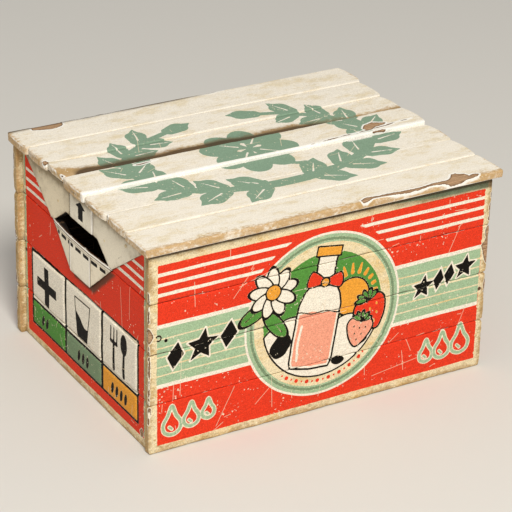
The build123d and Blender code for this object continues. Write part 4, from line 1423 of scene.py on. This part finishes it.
# %% Screw tree
screw_tree, node, given = new_tree("slotted_screws", {
    "Points": "Geometry", "Head radius": 0.0029, "Head depth": 0.0013, "Shank radius": 0.0016,
    "Shank length": 0.008, "Slot width": 0.0008, "Slot depth": 0.0005, "Seed": 1, "Finish": "Material"})
down, below, slot_long, slot_deep = (
    node("Math MULTIPLY", given[key], times) for key, times in
    (("Head depth", -1.0), ("Shank length", -1.0), ("Head radius", 3.0), ("Slot depth", 2.0)))
shank_length = node("Math ADD", given["Shank length"], down)
head, shank = cones(node, ((20, given["Head radius"], given["Shank radius"], given["Head depth"], down),
                           (12, given["Shank radius"], 0.0003, shank_length, below)))
slot_box = node("MeshCube", (given["Slot width"], slot_long, slot_deep))
head = node("MeshBoolean DIFFERENCE EXACT", head, slot_box)
spin = node("RandomValue FLOAT", 0.0, 3.14, Seed=given["Seed"])
screws = fasteners(node, given["Points"], [head, shank], (0.0, 0.0, spin))
finish_tree(node, screws, given["Finish"])
for cad_name, body, seed in (("hinge_wall_screws", "box", 3), ("hinge_lid_screws", "lid", 8)):
    fasten(cad_name + "_slotted", cad_name, screw_tree, {"Seed": seed, "Finish": screw_steel},
           "screw_steel", body, at_top=True)

# %% [markdown]
# ## Bottle dividers with Geometry Nodes
# The dividers are thin slats halved into each other like an egg crate. One tree makes
# both sets: a subdivided bar, notches cut from its top or its foot, copies in a row, and
# then a little chance in every copy, so the worn top edges are not ruled lines.

# %% Divider tree
slat_tree, node, given = new_tree("halved_slats", {
    "Start": "Geometry", "Length": 0.429, "Height": 0.09, "Thickness": 0.004, "Notch": 0.0043,
    "Notches": 4, "Notch spacing": 0.086, "Notch side": 1.0, "Slats": 3, "Slat spacing": 0.081,
    "Foot": 0.0215, "Turn": 0.0, "Wear": 0.0005, "Seed": 1, "Finish": "Material"})


def row_start(spacing, count):
    """Where the first of a centred row is."""
    half_back = node("Math MULTIPLY", given[spacing], -0.5)
    return node("Math MULTIPLY", half_back, node("Math SUBTRACT", given[count], 1.0))


bar = node("MeshCube", (given["Length"], given["Thickness"], given["Height"]), 90, 4, 20)
half = node("Math MULTIPLY", given["Height"], 0.5)
deep = node("Math MULTIPLY", given["Thickness"], 3.0)
tooth_box = node("MeshCube", (given["Notch"], deep, given["Height"]))
lift = node("Math MULTIPLY", half, given["Notch side"])
row = node("MeshLine", given["Notches"], (row_start("Notch spacing", "Notches"), 0.0, lift),
           (given["Notch spacing"], 0.0, 0.0))
teeth = node("RealizeInstances", node("InstanceOnPoints", row, Instance=tooth_box))
bar = node("MeshBoolean DIFFERENCE EXACT", bar, teeth)
in_mm = node("VectorMath SCALE", node("InputPosition"), 1000.0)
one = node("StoreNamedAttribute FLOAT_VECTOR", bar, Name="board", Value=in_mm)
stand = node("Math ADD", given["Foot"], half)
row = node("MeshLine", given["Slats"], (0.0, row_start("Slat spacing", "Slats"), stand),
           (0.0, given["Slat spacing"], 0.0))
row = node("InstanceOnPoints", row, Instance=one)
slip = node("RandomValue FLOAT_VECTOR", Max=(700.0, 300.0, 300.0), Seed=given["Seed"])
row = node("StoreNamedAttribute FLOAT_VECTOR INSTANCE", row, Name="slip", Value=slip)
push = node("TexNoise", node("InputPosition"), 90.0, 3.0, out="Color")
push = node("VectorMath SUBTRACT", push, (0.5, 0.5, 0.5))
push = node("VectorMath SCALE", push, given["Wear"])
row = node("SetPosition", node("RealizeInstances", row), Offset=push)
row = node("Transform", row, Rotation=(0.0, 0.0, given["Turn"]))
finish_tree(node, row, given["Finish"])


def dividers(piece, cad_names, settings):
    """One set of slats in place of its CAD nodes."""
    made = run_tree(piece, bpy.data.meshes.new(piece + "_start"), slat_tree,
                    {**settings, "Finish": finishes["divider_slat_wood"]})
    put_in_place(made, cad_names, "divider_slat_wood", "box")
    lows = np.array([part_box(n)[0] for n in cad_names]).min(0)
    print(piece, "faces:", len(made.data.polygons), "CAD starts at", np.round(lows / MM, 1),
          "and it at", np.round(np.array(made.bound_box).min(0) / MM, 1))


dividers("long_dividers_halved", [f"long_divider_{k}" for k in (1, 2, 3)], {"Seed": 2})
dividers("cross_dividers_halved", [f"cross_divider_{k}" for k in (1, 2, 3, 4)],
         {"Length": 0.323, "Notches": 3, "Notch spacing": 0.081, "Notch side": -1.0, "Slats": 4,
          "Slat spacing": 0.086, "Turn": math.pi / 2, "Seed": 9})

# %% [markdown]
# ## Studio
# A plain pale floor and soft light: a large lamp high in front, level with the left corner,
# does most of the work, so the lid and the front are bright and the left end is only
# grazed; a pale surround keeps the shade open.

# %% Floor, light and camera
floor_corners = [(-9, -9, 0), (9, -9, 0), (9, 9, 0), (-9, 9, 0)]
floor = in_scene("studio_floor", new_mesh("studio_floor", floor_corners, [(0, 1, 2, 3)]))
paper = bpy.data.materials.new("pale_paper")
paper.use_nodes = True
for socket, value in (("Base Color", card("#dcdad6")), ("Roughness", 0.9)):
    paper.node_tree.nodes["Principled BSDF"].inputs[socket].default_value = value
floor.data.materials.append(paper)

AT = Vector((-1.1, -3.0, 3.48))     # the lamp
AIM = Vector((0, 0, 0.12))
light = bpy.data.lights.new("key_lamp", "AREA")
light.shape, light.size, light.energy, light.color = "DISK", 1.4, 184, card("#fffaf1")[:3]
lamp = in_scene("key_lamp", light)
lamp.location = AT
lamp.rotation_euler = (AIM - AT).to_track_quat("-Z", "Y").to_euler()
scene = bpy.context.scene
scene.world = bpy.data.worlds.new("surround")
scene.world.use_nodes = True
for socket, value in (("Color", card("#f3f1ec")), ("Strength", 0.44)):
    scene.world.node_tree.nodes["Background"].inputs[socket].default_value = value
scene.view_settings.view_transform = "Standard"

scene.camera = in_scene("camera", bpy.data.cameras.new("camera"))
lens = scene.camera.data
lens.sensor_width, lens.lens, lens.clip_start, lens.clip_end = 36.0, 159.64, 0.1, 50
right, rise, ahead = (Vector(a) for a in ((0.86506, -0.50111, 0.02374), (0.20393, 0.39448, 0.89600),
                                          (0.45836, 0.77024, -0.44344)))
scene.camera.matrix_world = Matrix.Translation((-1.2543, -2.1226, 1.3451)) @ Matrix(
    (right, rise, -ahead)).transposed().to_4x4()
print("camera looks down", round(math.degrees(math.asin(-ahead.z)), 1), "degrees")
